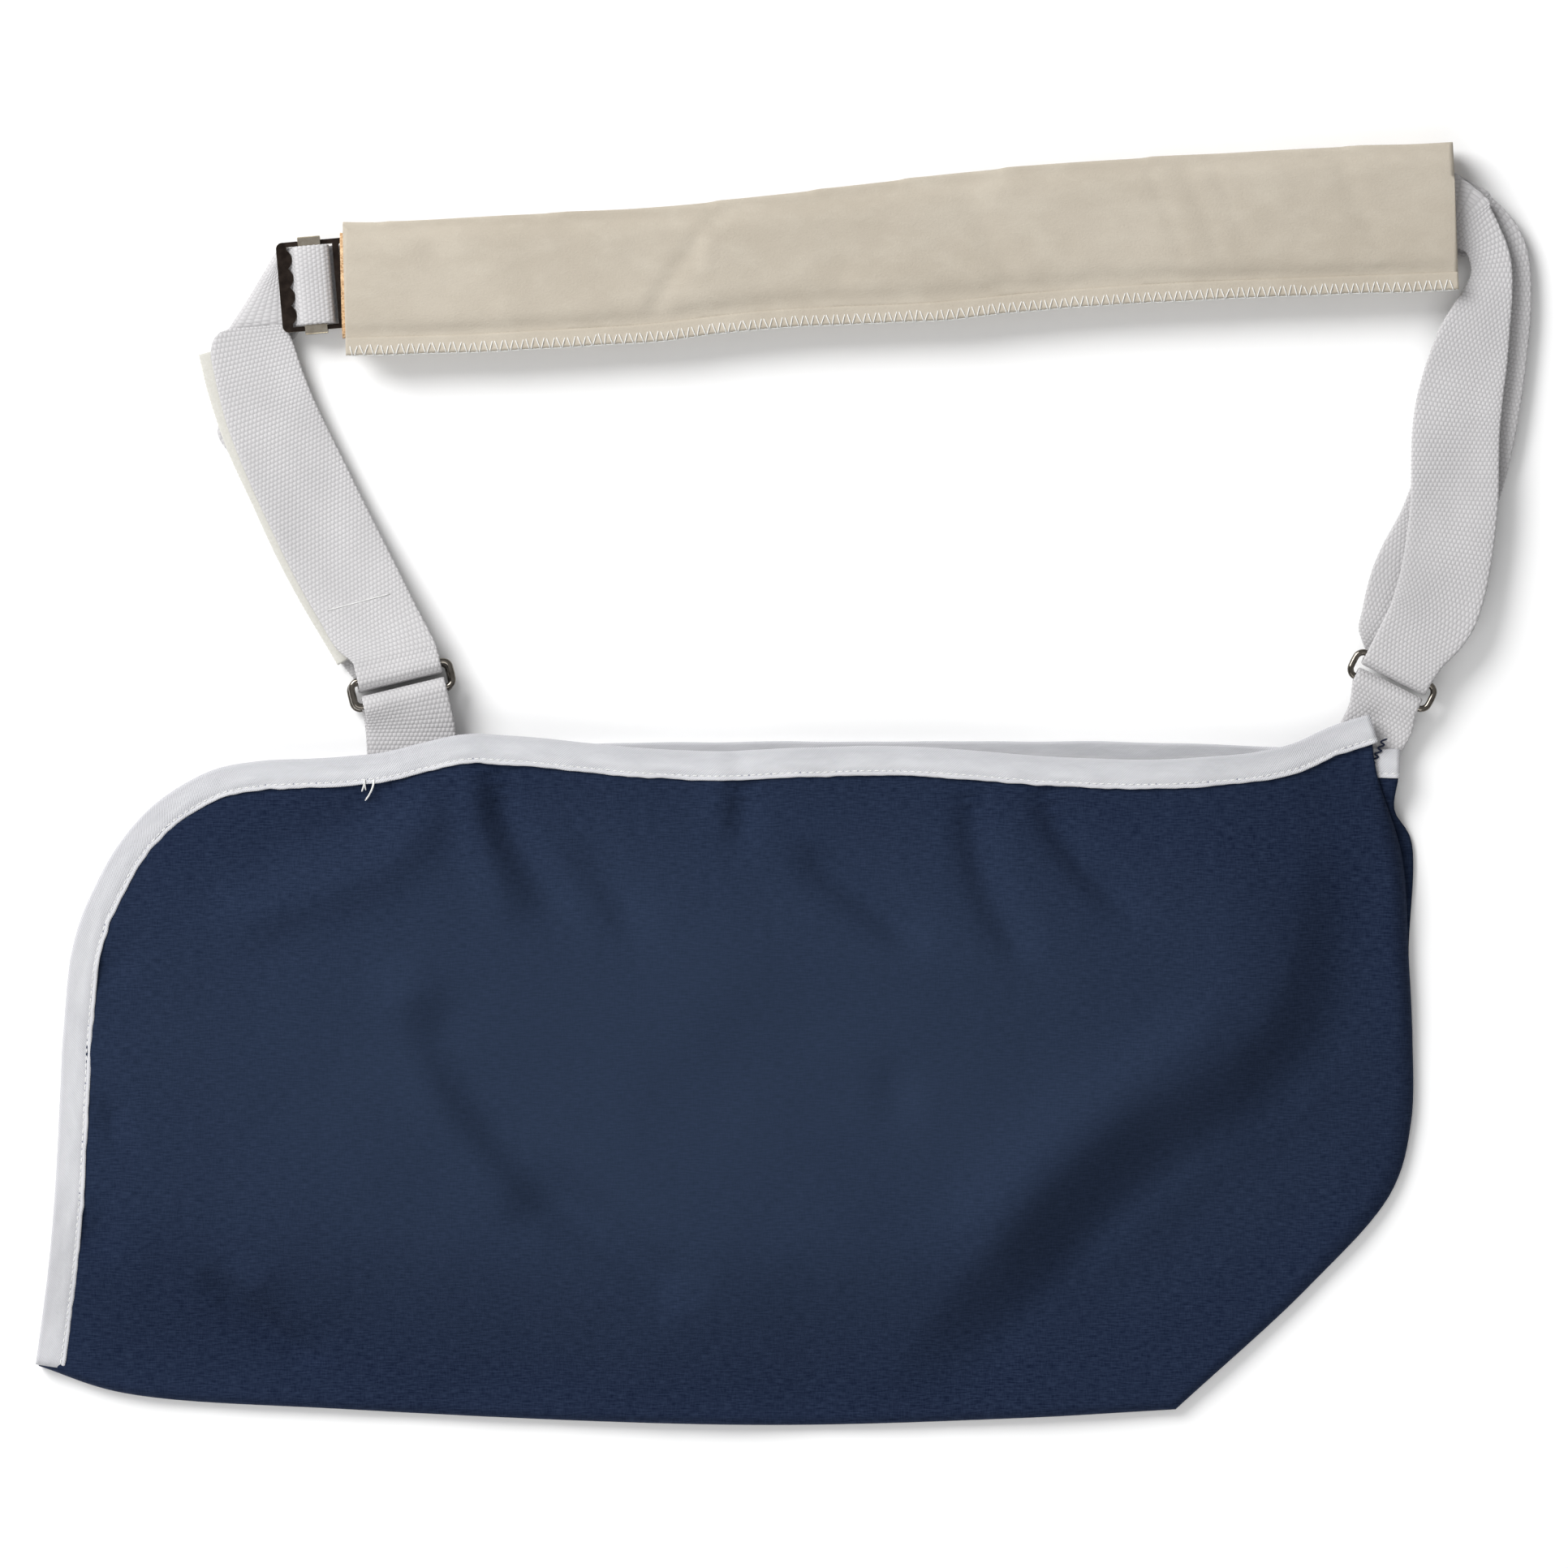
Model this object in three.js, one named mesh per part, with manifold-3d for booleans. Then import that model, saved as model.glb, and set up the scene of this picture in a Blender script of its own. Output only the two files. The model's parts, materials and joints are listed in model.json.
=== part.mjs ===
// Arm sling: a navy cloth pouch with a white bound mouth, three webbing tabs with metal rings, and one
// long webbing strap that runs through a foam neck pad and a toothed slide buckle.
// It lies flat. Units are millimetres, +X runs from the hand end to the elbow end, +Y from the pouch to
// the neck pad and +Z up. The origin is the bottom centre of the whole object.

import * as THREE from 'three';
import { mergeVertices } from 'three/addons/utils/BufferGeometryUtils.js';
import Module from 'manifold-3d';

// ---- Driving dimensions -------------------------------------------------------------------------

const GAP = 0.3; // clearance between neighbouring pieces

const WEB_WIDTH = 25.4;
const WEB_THICK = 1.2;
const TAB_LEG_PITCH = 1.4; // from one folded layer of a tab to the other

const CLOTH_THICK = 0.5;
const TAPE_WIDTH = 8.5; // visible width of the binding
const TAPE_THICK = 0.4;
const BINDING_THICK = CLOTH_THICK + 2 * (GAP + TAPE_THICK);
const BACK_PANEL_Z = BINDING_THICK / 2;
const FRONT_TOP_Z = 9.15; // middle of the front panel at the mouth line
const MOUTH_Y = 8; // height of the mouth line
const FRONT_SLOPE = 0.0332; // rise of the front panel from the fold to the mouth
const WRIST_SPLIT_X = -122; // the hand end of the front panel opens from here
const SPLIT_GAP = 0.6;

const WIRE = 2; // ring wire diameter
const LONG_RING = { halfLength: 14.6, corner: 2.2, webWidth: 24.6 }; // lengths to the middle of the wire,
const SHORT_RING = { halfLength: 12.5, corner: 2.4, webWidth: 20.6 }; // and the webbing gathered inside
const RING_HALF_HEIGHT = 3.8;
const SNUG_RADIUS = WIRE / 2 + 0.35 + WEB_THICK / 2; // webbing centre line round a rail
const LOOSE_RADIUS = 2.45; // the right strap leaves the ring room to rock

const PAD_THICK = 13.6;
const PAD_Z = PAD_THICK / 2;
const PAD_COVER = 0.6;
const PAD_FOAM = 2.2;
const PAD_ROUNDING = 5.5; // corner radius of the pad's section
const PAD_HOLLOW_ROUNDING = 1;
const PAD_WIDTH_LEFT = 35.2;
const PAD_WIDTH_RIGHT = 40;
const OVERLOCK_WIDTH = 2;
const OVERLOCK_THICK = 5;
const STRAP_UPPER_Z = 8.5;
const STRAP_LOWER_Z = 4.2;
const STRAP_FIXED_END_Z = 5.6;

const FRAME_LENGTH = 23.2;
const FRAME_HEIGHT = 26;
const FRAME_THICK = 1;
const FRAME_Z = 6.6;
const FRAME_RAIL = 1.4;
const BUCKLE_TURN = THREE.MathUtils.degToRad(5);
const BUCKLE_CORNER = new THREE.Vector3(-144.7, 130.3, 0); // lower left corner of the frame
const TOOTH_COUNT = 4;
const TOOTH_DEPTH = 1.3;
const TOOTH_ROOT = 3; // width of the toothed bar between two teeth
const BAR_CENTRE = 9.7;
const BAR_WIDTH = 6.6;
const BAR_THICK = 0.8;

// ---- Materials ------------------------------------------------------------------------------------

const cloth = new THREE.MeshStandardMaterial({ color: 0x202c48, roughness: 0.9, metalness: 0 });
const tape = new THREE.MeshStandardMaterial({ color: 0xd9d9df, roughness: 0.85, metalness: 0 });
const webbing = new THREE.MeshStandardMaterial({ color: 0xd7d5d8, roughness: 0.9, metalness: 0 });
const velour = new THREE.MeshStandardMaterial({ color: 0xccc4b4, roughness: 1, metalness: 0 });
const foam = new THREE.MeshStandardMaterial({ color: 0xcda982, roughness: 1, metalness: 0 });
const whiteThread = new THREE.MeshStandardMaterial({ color: 0xe6e4dc, roughness: 0.8, metalness: 0 });
const navyThread = new THREE.MeshStandardMaterial({ color: 0x1a2238, roughness: 0.8, metalness: 0 });
const creamPatch = new THREE.MeshStandardMaterial({ color: 0xd8d4c6, roughness: 1, metalness: 0 });
const nickel = new THREE.MeshStandardMaterial({ color: 0xb8b2a8, roughness: 0.25, metalness: 1 });
const darkNickel = new THREE.MeshStandardMaterial({ color: 0x6a5d56, roughness: 0.3, metalness: 1 });

// ---- Geometry helpers -----------------------------------------------------------------------------

const wasm = await Module();
wasm.setup();

// A closed solid through a row of frames { origin, u, v }. sectionAt(i) gives the loops of the section in
// (u, v): the outer one anticlockwise, then any hole clockwise. u x v points along the row.
function loft(frames, sectionAt, ringClosed = false) {
  const positions = [];
  const indices = [];
  const sections = frames.map((frame, i) => sectionAt(i));
  const pointCount = sections[0].reduce((sum, loop) => sum + loop.length, 0);
  frames.forEach((frame, i) => {
    for (const p of sections[i].flat()) {
      const q = frame.origin.clone().addScaledVector(frame.u, p.x).addScaledVector(frame.v, p.y);
      positions.push(q.x, q.y, q.z);
    }
  });
  const spans = ringClosed ? frames.length : frames.length - 1;
  for (let i = 0; i < spans; i++) {
    const here = i * pointCount;
    const next = ((i + 1) % frames.length) * pointCount;
    let start = 0;
    for (const loop of sections[0]) {
      for (let k = 0; k < loop.length; k++) {
        const a = start + k;
        const b = start + (k + 1) % loop.length;
        indices.push(here + a, here + b, next + b, here + a, next + b, next + a);
      }
      start += loop.length;
    }
  }
  if (!ringClosed) {
    const last = (frames.length - 1) * pointCount;
    const capAt = (i) => THREE.ShapeUtils.triangulateShape(sections[i][0], sections[i].slice(1));
    for (const [a, b, c] of capAt(0)) indices.push(c, b, a);
    for (const [a, b, c] of capAt(frames.length - 1)) indices.push(last + a, last + b, last + c);
  }
  const geometry = new THREE.BufferGeometry();
  geometry.setAttribute('position', new THREE.Float32BufferAttribute(positions, 3));
  geometry.setIndex(indices);
  geometry.computeVertexNormals();
  return geometry;
}

const rectangle = (width, height) => [
  new THREE.Vector2(-width / 2, -height / 2),
  new THREE.Vector2(width / 2, -height / 2),
  new THREE.Vector2(width / 2, height / 2),
  new THREE.Vector2(-width / 2, height / 2),
];

// A rectangle with round corners, as a loop of points.
function roundedLoop(width, height, radius, segments) {
  const points = [];
  const corners = [[1, 1], [-1, 1], [-1, -1], [1, -1]];
  corners.forEach(([sx, sy], quarter) => {
    for (let i = 0; i <= segments; i++) {
      const angle = Math.PI / 2 * (quarter + i / segments);
      points.push(new THREE.Vector2(
        sx * (width / 2 - radius) + radius * Math.cos(angle),
        sy * (height / 2 - radius) + radius * Math.sin(angle),
      ));
    }
  });
  return points;
}

const horizontal = (degrees) => {
  const angle = THREE.MathUtils.degToRad(degrees);
  return new THREE.Vector3(Math.cos(angle), Math.sin(angle), 0);
};

// Webbing through stations { at, across, width }: across is the direction of the width.
function ribbon(stations, thickness = WEB_THICK) {
  const frames = stations.map((station, i) => {
    const before = stations[Math.max(i - 1, 0)].at;
    const after = stations[Math.min(i + 1, stations.length - 1)].at;
    const v = after.clone().sub(before).cross(station.across).normalize();
    return { origin: station.at, u: station.across, v };
  });
  return loft(frames, (i) => [rectangle(stations[i].width ?? WEB_WIDTH, thickness)]);
}

// Stations along a smooth run of [x, y, z, width] points. side is +1 where the width direction is to the
// left of the run, and -1 where it is to the right.
function smoothRun(points, side, count) {
  const path = new THREE.CatmullRomCurve3(points.map(([x, y, z]) => new THREE.Vector3(x, y, z)));
  const widths = new THREE.CatmullRomCurve3(points.map((p) => new THREE.Vector3(p[3] ?? WEB_WIDTH, 0, 0)));
  const stations = [];
  for (let i = 0; i <= count; i++) {
    const tangent = path.getTangent(i / count);
    const across = new THREE.Vector3(-tangent.y, tangent.x, 0).multiplyScalar(side).normalize();
    stations.push({ at: path.getPoint(i / count), across, width: widths.getPoint(i / count).x });
  }
  return stations;
}

// Stations round one rail of a ring: an arc in the plane of z and the level direction square to the rail,
// from one angle to the other, measured from that direction towards +Z.
function roundRail(ring, side, radius, fromAngle, toAngle, steps = 6) {
  const centre = rail(ring, side);
  const across = horizontal(ring.turn);
  const outward = horizontal(ring.turn + 90);
  const stations = [];
  for (let i = 0; i <= steps; i++) {
    const angle = THREE.MathUtils.degToRad(fromAngle + (toAngle - fromAngle) * i / steps);
    const at = centre.clone().addScaledVector(outward, radius * Math.cos(angle));
    at.z += radius * Math.sin(angle);
    stations.push({ at, across, width: ring.webWidth });
  }
  return stations;
}

function shapeOf(points) {
  return new THREE.Shape(points.map((p) => new THREE.Vector2(p.x, p.y)));
}

function plate(shape, bottom, thickness) {
  const geometry = new THREE.ExtrudeGeometry(shape, {
    depth: thickness, bevelEnabled: false, curveSegments: 8,
  });
  return geometry.translate(0, 0, bottom);
}

function toManifold(geometry) {
  const bare = new THREE.BufferGeometry();
  bare.setAttribute('position', geometry.getAttribute('position').clone());
  if (geometry.index) bare.setIndex(geometry.index.clone());
  const merged = mergeVertices(bare, 1e-4);
  return new wasm.Manifold(new wasm.Mesh({
    numProp: 3,
    vertProperties: new Float32Array(merged.getAttribute('position').array),
    triVerts: new Uint32Array(merged.index.array),
  }));
}

function fromManifold(solid) {
  const mesh = solid.getMesh();
  const geometry = new THREE.BufferGeometry();
  geometry.setAttribute('position', new THREE.BufferAttribute(mesh.vertProperties, 3));
  geometry.setIndex(new THREE.BufferAttribute(mesh.triVerts, 1));
  geometry.computeVertexNormals();
  return geometry;
}

// The part of a solid on one side of a wall across X.
function keepSide(geometry, wallX, side) {
  const reach = 1000;
  const block = new THREE.BoxGeometry(reach, reach, reach).translate(wallX + side * reach / 2, 0, 0);
  return fromManifold(toManifold(geometry).intersect(toManifold(block)));
}

// Lays a level piece on the slope of the front panel.
function layOnFront(geometry) {
  const position = geometry.getAttribute('position');
  for (let i = 0; i < position.count; i++) {
    const rise = FRONT_TOP_Z + FRONT_SLOPE * (position.getY(i) - MOUTH_Y);
    position.setZ(i, position.getZ(i) + rise);
  }
  geometry.computeVertexNormals();
  return geometry;
}

const sling = new THREE.Group();

function add(name, geometry, material) {
  const mesh = new THREE.Mesh(geometry, material.clone());
  mesh.name = name;
  sling.add(mesh);
  return mesh;
}

// ---- Pouch outline --------------------------------------------------------------------------------

const point = (x, y) => new THREE.Vector3(x, y, 0);

// The bound edge runs from the elbow corner along the mouth, round the hand end and down to the fold.
const handEdge = [
  point(-140, 7), point(-160, 5.5), point(-176, -2), point(-190, -15), point(-203, -41),
  point(-206.5, -60), point(-210.5, -126), point(-216.6, -168.4),
];
const frontMouth = [
  point(169, 20), point(155, 15.5), point(143, 10.5), point(114, 7.5), point(88, 7.3),
  point(31, 11), point(-27, 9.6), point(-94, 14.2), point(-112, 9.8), ...handEdge,
];
const backMouth = [
  point(178, 10.2), point(150, 10.5), point(110, 12), point(20, 12.3), point(-60, 11.6),
  point(-100, 9.5), ...handEdge,
];
// The fold, the slanting dart at the elbow and the rounded elbow end.
const fold = [point(-192, -176.2), point(-126, -181.1), point(-11, -185.6), point(67, -183.7), point(113.4, -181.1)];
const elbow = [point(152, -145.5), point(176, -118), point(181.6, -98), point(182, -74), point(180.9, -50)];
const frontElbowTop = [point(179, -21), point(171, 4)];
const backElbowTop = [point(181.6, -16), point(176.6, -7.5), point(177.6, 2)];

const BOUND_STEPS = 44;
const EDGE_INSET = TAPE_THICK + 0.4; // the cloth edge stops inside the folded tape

function boundFrames(mouth) {
  const curve = new THREE.CatmullRomCurve3(mouth);
  const frames = [];
  for (let i = 0; i <= BOUND_STEPS; i++) {
    const along = curve.getTangentAt(i / BOUND_STEPS);
    const outward = new THREE.Vector3(along.y, -along.x, 0);
    frames.push({ origin: curve.getPointAt(i / BOUND_STEPS), u: outward, v: along.clone().cross(outward) });
  }
  return frames;
}

// A folded tape: a channel that opens inwards over the edge of the cloth.
function bindingGeometry(mouth) {
  const half = BINDING_THICK / 2;
  const slot = half - TAPE_THICK;
  const section = [
    [-TAPE_WIDTH, -half], [0, -half], [0, half], [-TAPE_WIDTH, half],
    [-TAPE_WIDTH, slot], [-TAPE_THICK, slot], [-TAPE_THICK, -slot], [-TAPE_WIDTH, -slot],
  ].map(([x, y]) => new THREE.Vector2(x, y));
  return loft(boundFrames(mouth), () => [section]);
}

function panelGeometry(mouth, elbowTop) {
  const bound = boundFrames(mouth).map((frame) => frame.origin.clone().addScaledVector(frame.u, -EDGE_INSET));
  const outline = [...bound, ...fold, ...elbow, ...elbowTop];
  return plate(shapeOf(outline.reverse()), -CLOTH_THICK / 2, CLOTH_THICK);
}

function addPouch() {
  const frontPanel = layOnFront(panelGeometry(frontMouth, frontElbowTop));
  const frontBinding = layOnFront(bindingGeometry(frontMouth));
  const mainWall = WRIST_SPLIT_X + SPLIT_GAP / 2;
  const wristWall = WRIST_SPLIT_X - SPLIT_GAP / 2;
  add('back_panel', panelGeometry(backMouth, backElbowTop).translate(0, 0, BACK_PANEL_Z), cloth);
  add('back_binding', bindingGeometry(backMouth).translate(0, 0, BACK_PANEL_Z), tape);
  add('front_panel', keepSide(frontPanel, mainWall, 1), cloth);
  add('front_panel_wrist_end', keepSide(frontPanel, wristWall, -1), cloth);
  add('front_binding', keepSide(frontBinding, mainWall, 1), tape);
  add('front_binding_wrist_end', keepSide(frontBinding, wristWall, -1), tape);
}

// The turned-in seam allowances, between the panels: up the elbow end, and along the slanting dart.
function addSeams() {
  const width = 8;
  const margin = 6.5; // from the outline to the middle of the strip
  const strip = (from, to, thickness) => {
    const along = to.clone().sub(from).normalize();
    const u = new THREE.Vector3(-along.y, along.x, 0);
    const ends = [from, to].map((p) => ({
      origin: p.clone().addScaledVector(u, margin), u, v: along.clone().cross(u),
    }));
    return loft(ends, () => [rectangle(width, thickness)]);
  };
  const floor = BACK_PANEL_Z + CLOTH_THICK / 2 + GAP;
  const elbowThick = 2;
  const dartThick = 0.7;
  add('elbow_seam', strip(point(180, -96), point(179, -14), elbowThick)
    .translate(0, 0, floor + elbowThick / 2), navyThread);
  add('dart_seam', strip(point(121, -172), point(172, -122), dartThick)
    .translate(0, 0, floor + dartThick / 2), navyThread);
}

// ---- Rings and tabs -------------------------------------------------------------------------------

const rings = {
  left_front: {
    ...LONG_RING, centre: new THREE.Vector3(-110.3, 28.9, 8), turn: 13.5,
    root: [-107.6, 15.4, 6.4], rootTurn: 1, rootWidth: WEB_WIDTH, sewnLength: 16,
  },
  left_back: {
    ...LONG_RING, centre: new THREE.Vector3(-111, 28.3, 2.6), turn: 13.5,
    root: [-108.3, 15.4, 3.5], rootTurn: 1, rootWidth: WEB_WIDTH, sewnLength: 16,
  },
  right: {
    ...SHORT_RING, centre: new THREE.Vector3(175.8, 29.9, 6.35), turn: -26.8,
    root: [172.5, 18.9, 5], rootTurn: -27, rootWidth: 20, sewnLength: 12,
  },
};

// The middle of a ring's rail: +1 is the rail that the strap pulls, and -1 the one that the tab holds.
function rail(ring, side) {
  return ring.centre.clone().addScaledVector(horizontal(ring.turn + 90), side * RING_HALF_HEIGHT);
}

function addRing(name, ring) {
  const straightX = ring.halfLength - ring.corner;
  const straightY = RING_HALF_HEIGHT - ring.corner;
  const cornerSteps = 5;
  const frames = [];
  const corners = [[1, 1], [-1, 1], [-1, -1], [1, -1]];
  corners.forEach(([sx, sy], quarter) => {
    for (let i = 0; i <= cornerSteps; i++) {
      const angle = Math.PI / 2 * (quarter + i / cornerSteps);
      const u = new THREE.Vector3(Math.cos(angle), Math.sin(angle), 0);
      const origin = new THREE.Vector3(sx * straightX, sy * straightY, 0).addScaledVector(u, ring.corner);
      frames.push({ origin, u, v: new THREE.Vector3(0, 0, 1) });
    }
  });
  const wireSides = 10;
  const circle = Array.from({ length: wireSides }, (_, i) => {
    const angle = -2 * Math.PI * i / wireSides;
    return new THREE.Vector2(WIRE / 2 * Math.cos(angle), WIRE / 2 * Math.sin(angle));
  });
  const mesh = add(name, loft(frames, () => [circle], true), nickel);
  mesh.position.copy(ring.centre);
  mesh.rotation.z = THREE.MathUtils.degToRad(ring.turn);
}

// A tab is one piece of webbing, folded over the lower rail of its ring, with both ends at its root.
function addTab(name, ring) {
  const [x, y, z] = ring.root;
  const rootAcross = horizontal(ring.rootTurn);
  const leg = (side) => ({
    at: new THREE.Vector3(x, y, z + side * TAB_LEG_PITCH / 2), across: rootAcross, width: ring.rootWidth,
  });
  const loop = roundRail(ring, -1, SNUG_RADIUS, 110, -105);
  add(name, ribbon([leg(1), ...loop, leg(-1)]), webbing);
}

// Below its root, each tab lies sewn flat between the panels, with its two layers as one block.
function addSewnEnd(name, ring) {
  const [x, y, z] = ring.root;
  const down = horizontal(ring.rootTurn - 90);
  const start = new THREE.Vector3(x, y, z).addScaledVector(down, 2 * GAP);
  const end = start.clone().addScaledVector(down, ring.sewnLength);
  const across = horizontal(ring.rootTurn);
  const thickness = TAB_LEG_PITCH + WEB_THICK;
  add(`${name}_sewn_end`, ribbon([start, end].map((at) => ({ at, across, width: ring.rootWidth })), thickness), webbing);
  const tackThick = 0.5;
  const tackHeight = 2.2;
  const tackMargin = 2; // from each edge of the tab
  const tackStart = end.clone().addScaledVector(down, GAP);
  const tackEnd = tackStart.clone().addScaledVector(down, tackHeight);
  const tack = [tackStart, tackEnd].map((at) => ({ at, across, width: ring.rootWidth - 2 * tackMargin }));
  add(`bartack_${name.slice('tab_'.length)}`, ribbon(tack, tackThick), navyThread);
}

function addRingsAndTabs() {
  for (const [place, ring] of Object.entries(rings)) {
    addRing(`ring_${place}`, ring);
    addTab(`tab_${place}`, ring);
    addSewnEnd(`tab_${place}`, ring);
  }
}

// ---- Neck pad -------------------------------------------------------------------------------------

const padLine = new THREE.CatmullRomCurve3([
  point(-127, 143.8), point(-80, 145.4), point(0, 152.8), point(95, 161), point(193.6, 165.2),
]);
const PAD_STEPS = 16;

function padFrames() {
  return Array.from({ length: PAD_STEPS + 1 }, (_, i) => {
    const along = padLine.getTangentAt(i / PAD_STEPS);
    const u = new THREE.Vector3(-along.y, along.x, 0);
    const origin = padLine.getPointAt(i / PAD_STEPS);
    origin.z = PAD_Z;
    return { origin, u, v: along.clone().cross(u) };
  });
}

// The pad widens from its left end to its right end, mostly about the middle.
function padWidth(i) {
  const blend = THREE.MathUtils.smoothstep(i / PAD_STEPS, 0.25, 0.65);
  return THREE.MathUtils.lerp(PAD_WIDTH_LEFT, PAD_WIDTH_RIGHT, blend);
}

function padLoop(i, inset, radius) {
  return roundedLoop(padWidth(i) - 2 * inset, PAD_THICK - 2 * inset, radius, 4);
}

function addPadShell(name, outerInset, outerRadius, innerInset, innerRadius, material) {
  const sectionAt = (i) => [
    padLoop(i, outerInset, outerRadius),
    padLoop(i, innerInset, innerRadius).reverse(),
  ];
  add(name, loft(padFrames(), sectionAt), material);
}

function addPad() {
  const foamInset = PAD_COVER + GAP;
  const hollowInset = foamInset + PAD_FOAM;
  addPadShell('pad_cover', 0, PAD_ROUNDING, PAD_COVER, PAD_ROUNDING - PAD_COVER, velour);
  addPadShell('pad_foam', foamInset, PAD_ROUNDING - foamInset, hollowInset, PAD_HOLLOW_ROUNDING, foam);
  const frames = padFrames();
  const stitch = rectangle(OVERLOCK_WIDTH, OVERLOCK_THICK);
  const overlock = loft(frames, (i) => {
    const shift = -(padWidth(i) + OVERLOCK_WIDTH) / 2 - GAP;
    return [stitch.map((p) => new THREE.Vector2(p.x + shift, p.y))];
  });
  add('pad_overlock', overlock, whiteThread);
}

// ---- Buckle ---------------------------------------------------------------------------------------

const buckleX = horizontal(THREE.MathUtils.radToDeg(BUCKLE_TURN));
const buckleY = horizontal(THREE.MathUtils.radToDeg(BUCKLE_TURN) + 90);

// A place on the buckle: distance from its toothed end, distance from its lower rail, and height.
function onBuckle(x, y, z) {
  const at = BUCKLE_CORNER.clone().addScaledVector(buckleX, x).addScaledVector(buckleY, y);
  at.z = z;
  return at;
}

function placeOnBuckle(mesh) {
  mesh.position.copy(BUCKLE_CORNER);
  mesh.rotation.z = BUCKLE_TURN;
}

function roundedOutline(path, x0, y0, x1, y1, r) {
  path.moveTo(x0 + r, y0);
  path.lineTo(x1 - r, y0);
  path.absarc(x1 - r, y0 + r, r, -Math.PI / 2, 0, false);
  path.lineTo(x1, y1 - r);
  path.absarc(x1 - r, y1 - r, r, 0, Math.PI / 2, false);
  path.lineTo(x0 + r, y1);
  path.absarc(x0 + r, y1 - r, r, Math.PI / 2, Math.PI, false);
  path.lineTo(x0, y0 + r);
  path.absarc(x0 + r, y0 + r, r, Math.PI, 3 * Math.PI / 2, false);
}

// The main window, with a row of round teeth along its left side that bite into the webbing.
function toothedWindow(right) {
  const low = FRAME_RAIL;
  const high = FRAME_HEIGHT - FRAME_RAIL;
  const margin = 0.9;
  const pitch = (high - low - 2 * margin) / TOOTH_COUNT;
  const radius = (pitch * pitch / 4 + TOOTH_DEPTH * TOOTH_DEPTH) / (2 * TOOTH_DEPTH);
  const spread = Math.asin(pitch / 2 / radius);
  const window = new THREE.Path();
  window.moveTo(TOOTH_ROOT, low);
  window.lineTo(TOOTH_ROOT, low + margin);
  for (let i = 0; i < TOOTH_COUNT; i++) {
    const middle = low + margin + pitch * (i + 0.5);
    window.absarc(TOOTH_ROOT + TOOTH_DEPTH - radius, middle, radius, -spread, spread, false);
  }
  window.lineTo(TOOTH_ROOT, high);
  window.lineTo(right, high);
  window.lineTo(right, low);
  return window;
}

function addBuckle() {
  const windowEnd = 16.3;
  const slotStart = 18.1;
  const slotEnd = FRAME_LENGTH - 2.3;
  const shape = new THREE.Shape();
  roundedOutline(shape, 0, 0, FRAME_LENGTH, FRAME_HEIGHT, 1.8);
  shape.holes.push(toothedWindow(windowEnd));
  const slot = new THREE.Path();
  roundedOutline(slot, slotStart, FRAME_RAIL, slotEnd, FRAME_HEIGHT - FRAME_RAIL, 0.8);
  shape.holes.push(slot);
  placeOnBuckle(add('buckle_frame', plate(shape, FRAME_Z, FRAME_THICK), darkNickel));

  // The floating bar: a strap-wide strip whose ends curl round the two long rails.
  const top = FRAME_Z + FRAME_THICK + GAP + BAR_THICK;
  const lip = FRAME_Z - GAP - BAR_THICK;
  const outer = GAP + BAR_THICK;
  const inside = 1.1;
  const curl = [
    [-outer, top], [-outer, lip], [inside, lip], [inside, lip + BAR_THICK], [-GAP, lip + BAR_THICK],
    [-GAP, top - BAR_THICK],
  ];
  const mirrored = curl.map(([y, z]) => [FRAME_HEIGHT - y, z]).reverse();
  const profile = [...curl, ...mirrored].map(([y, z]) => new THREE.Vector2(y, z));
  const ends = [-1, 1].map((side) => ({
    origin: new THREE.Vector3(BAR_CENTRE + side * BAR_WIDTH / 2, 0, 0),
    u: new THREE.Vector3(0, 1, 0),
    v: new THREE.Vector3(0, 0, 1),
  }));
  placeOnBuckle(add('buckle_bar', loft(ends, () => [profile]), nickel));
}

// ---- Straps ---------------------------------------------------------------------------------------

const BUCKLE_WEB_WIDTH = 22.4; // webbing gathered inside the buckle

// The webbing that rides up through the window, over the bar and down again.
function addStrapOverBar() {
  const middle = FRAME_HEIGHT / 2;
  const legReach = BAR_WIDTH / 2 + GAP + WEB_THICK / 2;
  const topZ = FRAME_Z + FRAME_THICK + 2 * GAP + BAR_THICK + WEB_THICK / 2;
  const bottomZ = STRAP_LOWER_Z + WEB_THICK / 2 + GAP;
  const bend = 0.6;
  const profile = [
    [-legReach, bottomZ], [-legReach, topZ - bend - WEB_THICK / 2], [-legReach + bend, topZ],
    [legReach - bend, topZ], [legReach, topZ - bend - WEB_THICK / 2], [legReach, bottomZ],
  ];
  const stations = profile.map(([x, z]) => ({
    at: onBuckle(BAR_CENTRE + x, middle, z), across: buckleY, width: BUCKLE_WEB_WIDTH,
  }));
  add('strap_over_bar', ribbon(stations), webbing);
}

// Webbing inside the pad, on the pad's own line, from one end of it to the other.
function insidePad(z, from, to, side, count) {
  const stations = [];
  for (let i = 0; i <= count; i++) {
    const t = THREE.MathUtils.lerp(from, to, i / count);
    const tangent = padLine.getTangentAt(t);
    const at = padLine.getPointAt(t);
    at.z = z;
    stations.push({ at, across: new THREE.Vector3(-tangent.y, tangent.x, 0).multiplyScalar(side) });
  }
  return stations;
}

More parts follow.
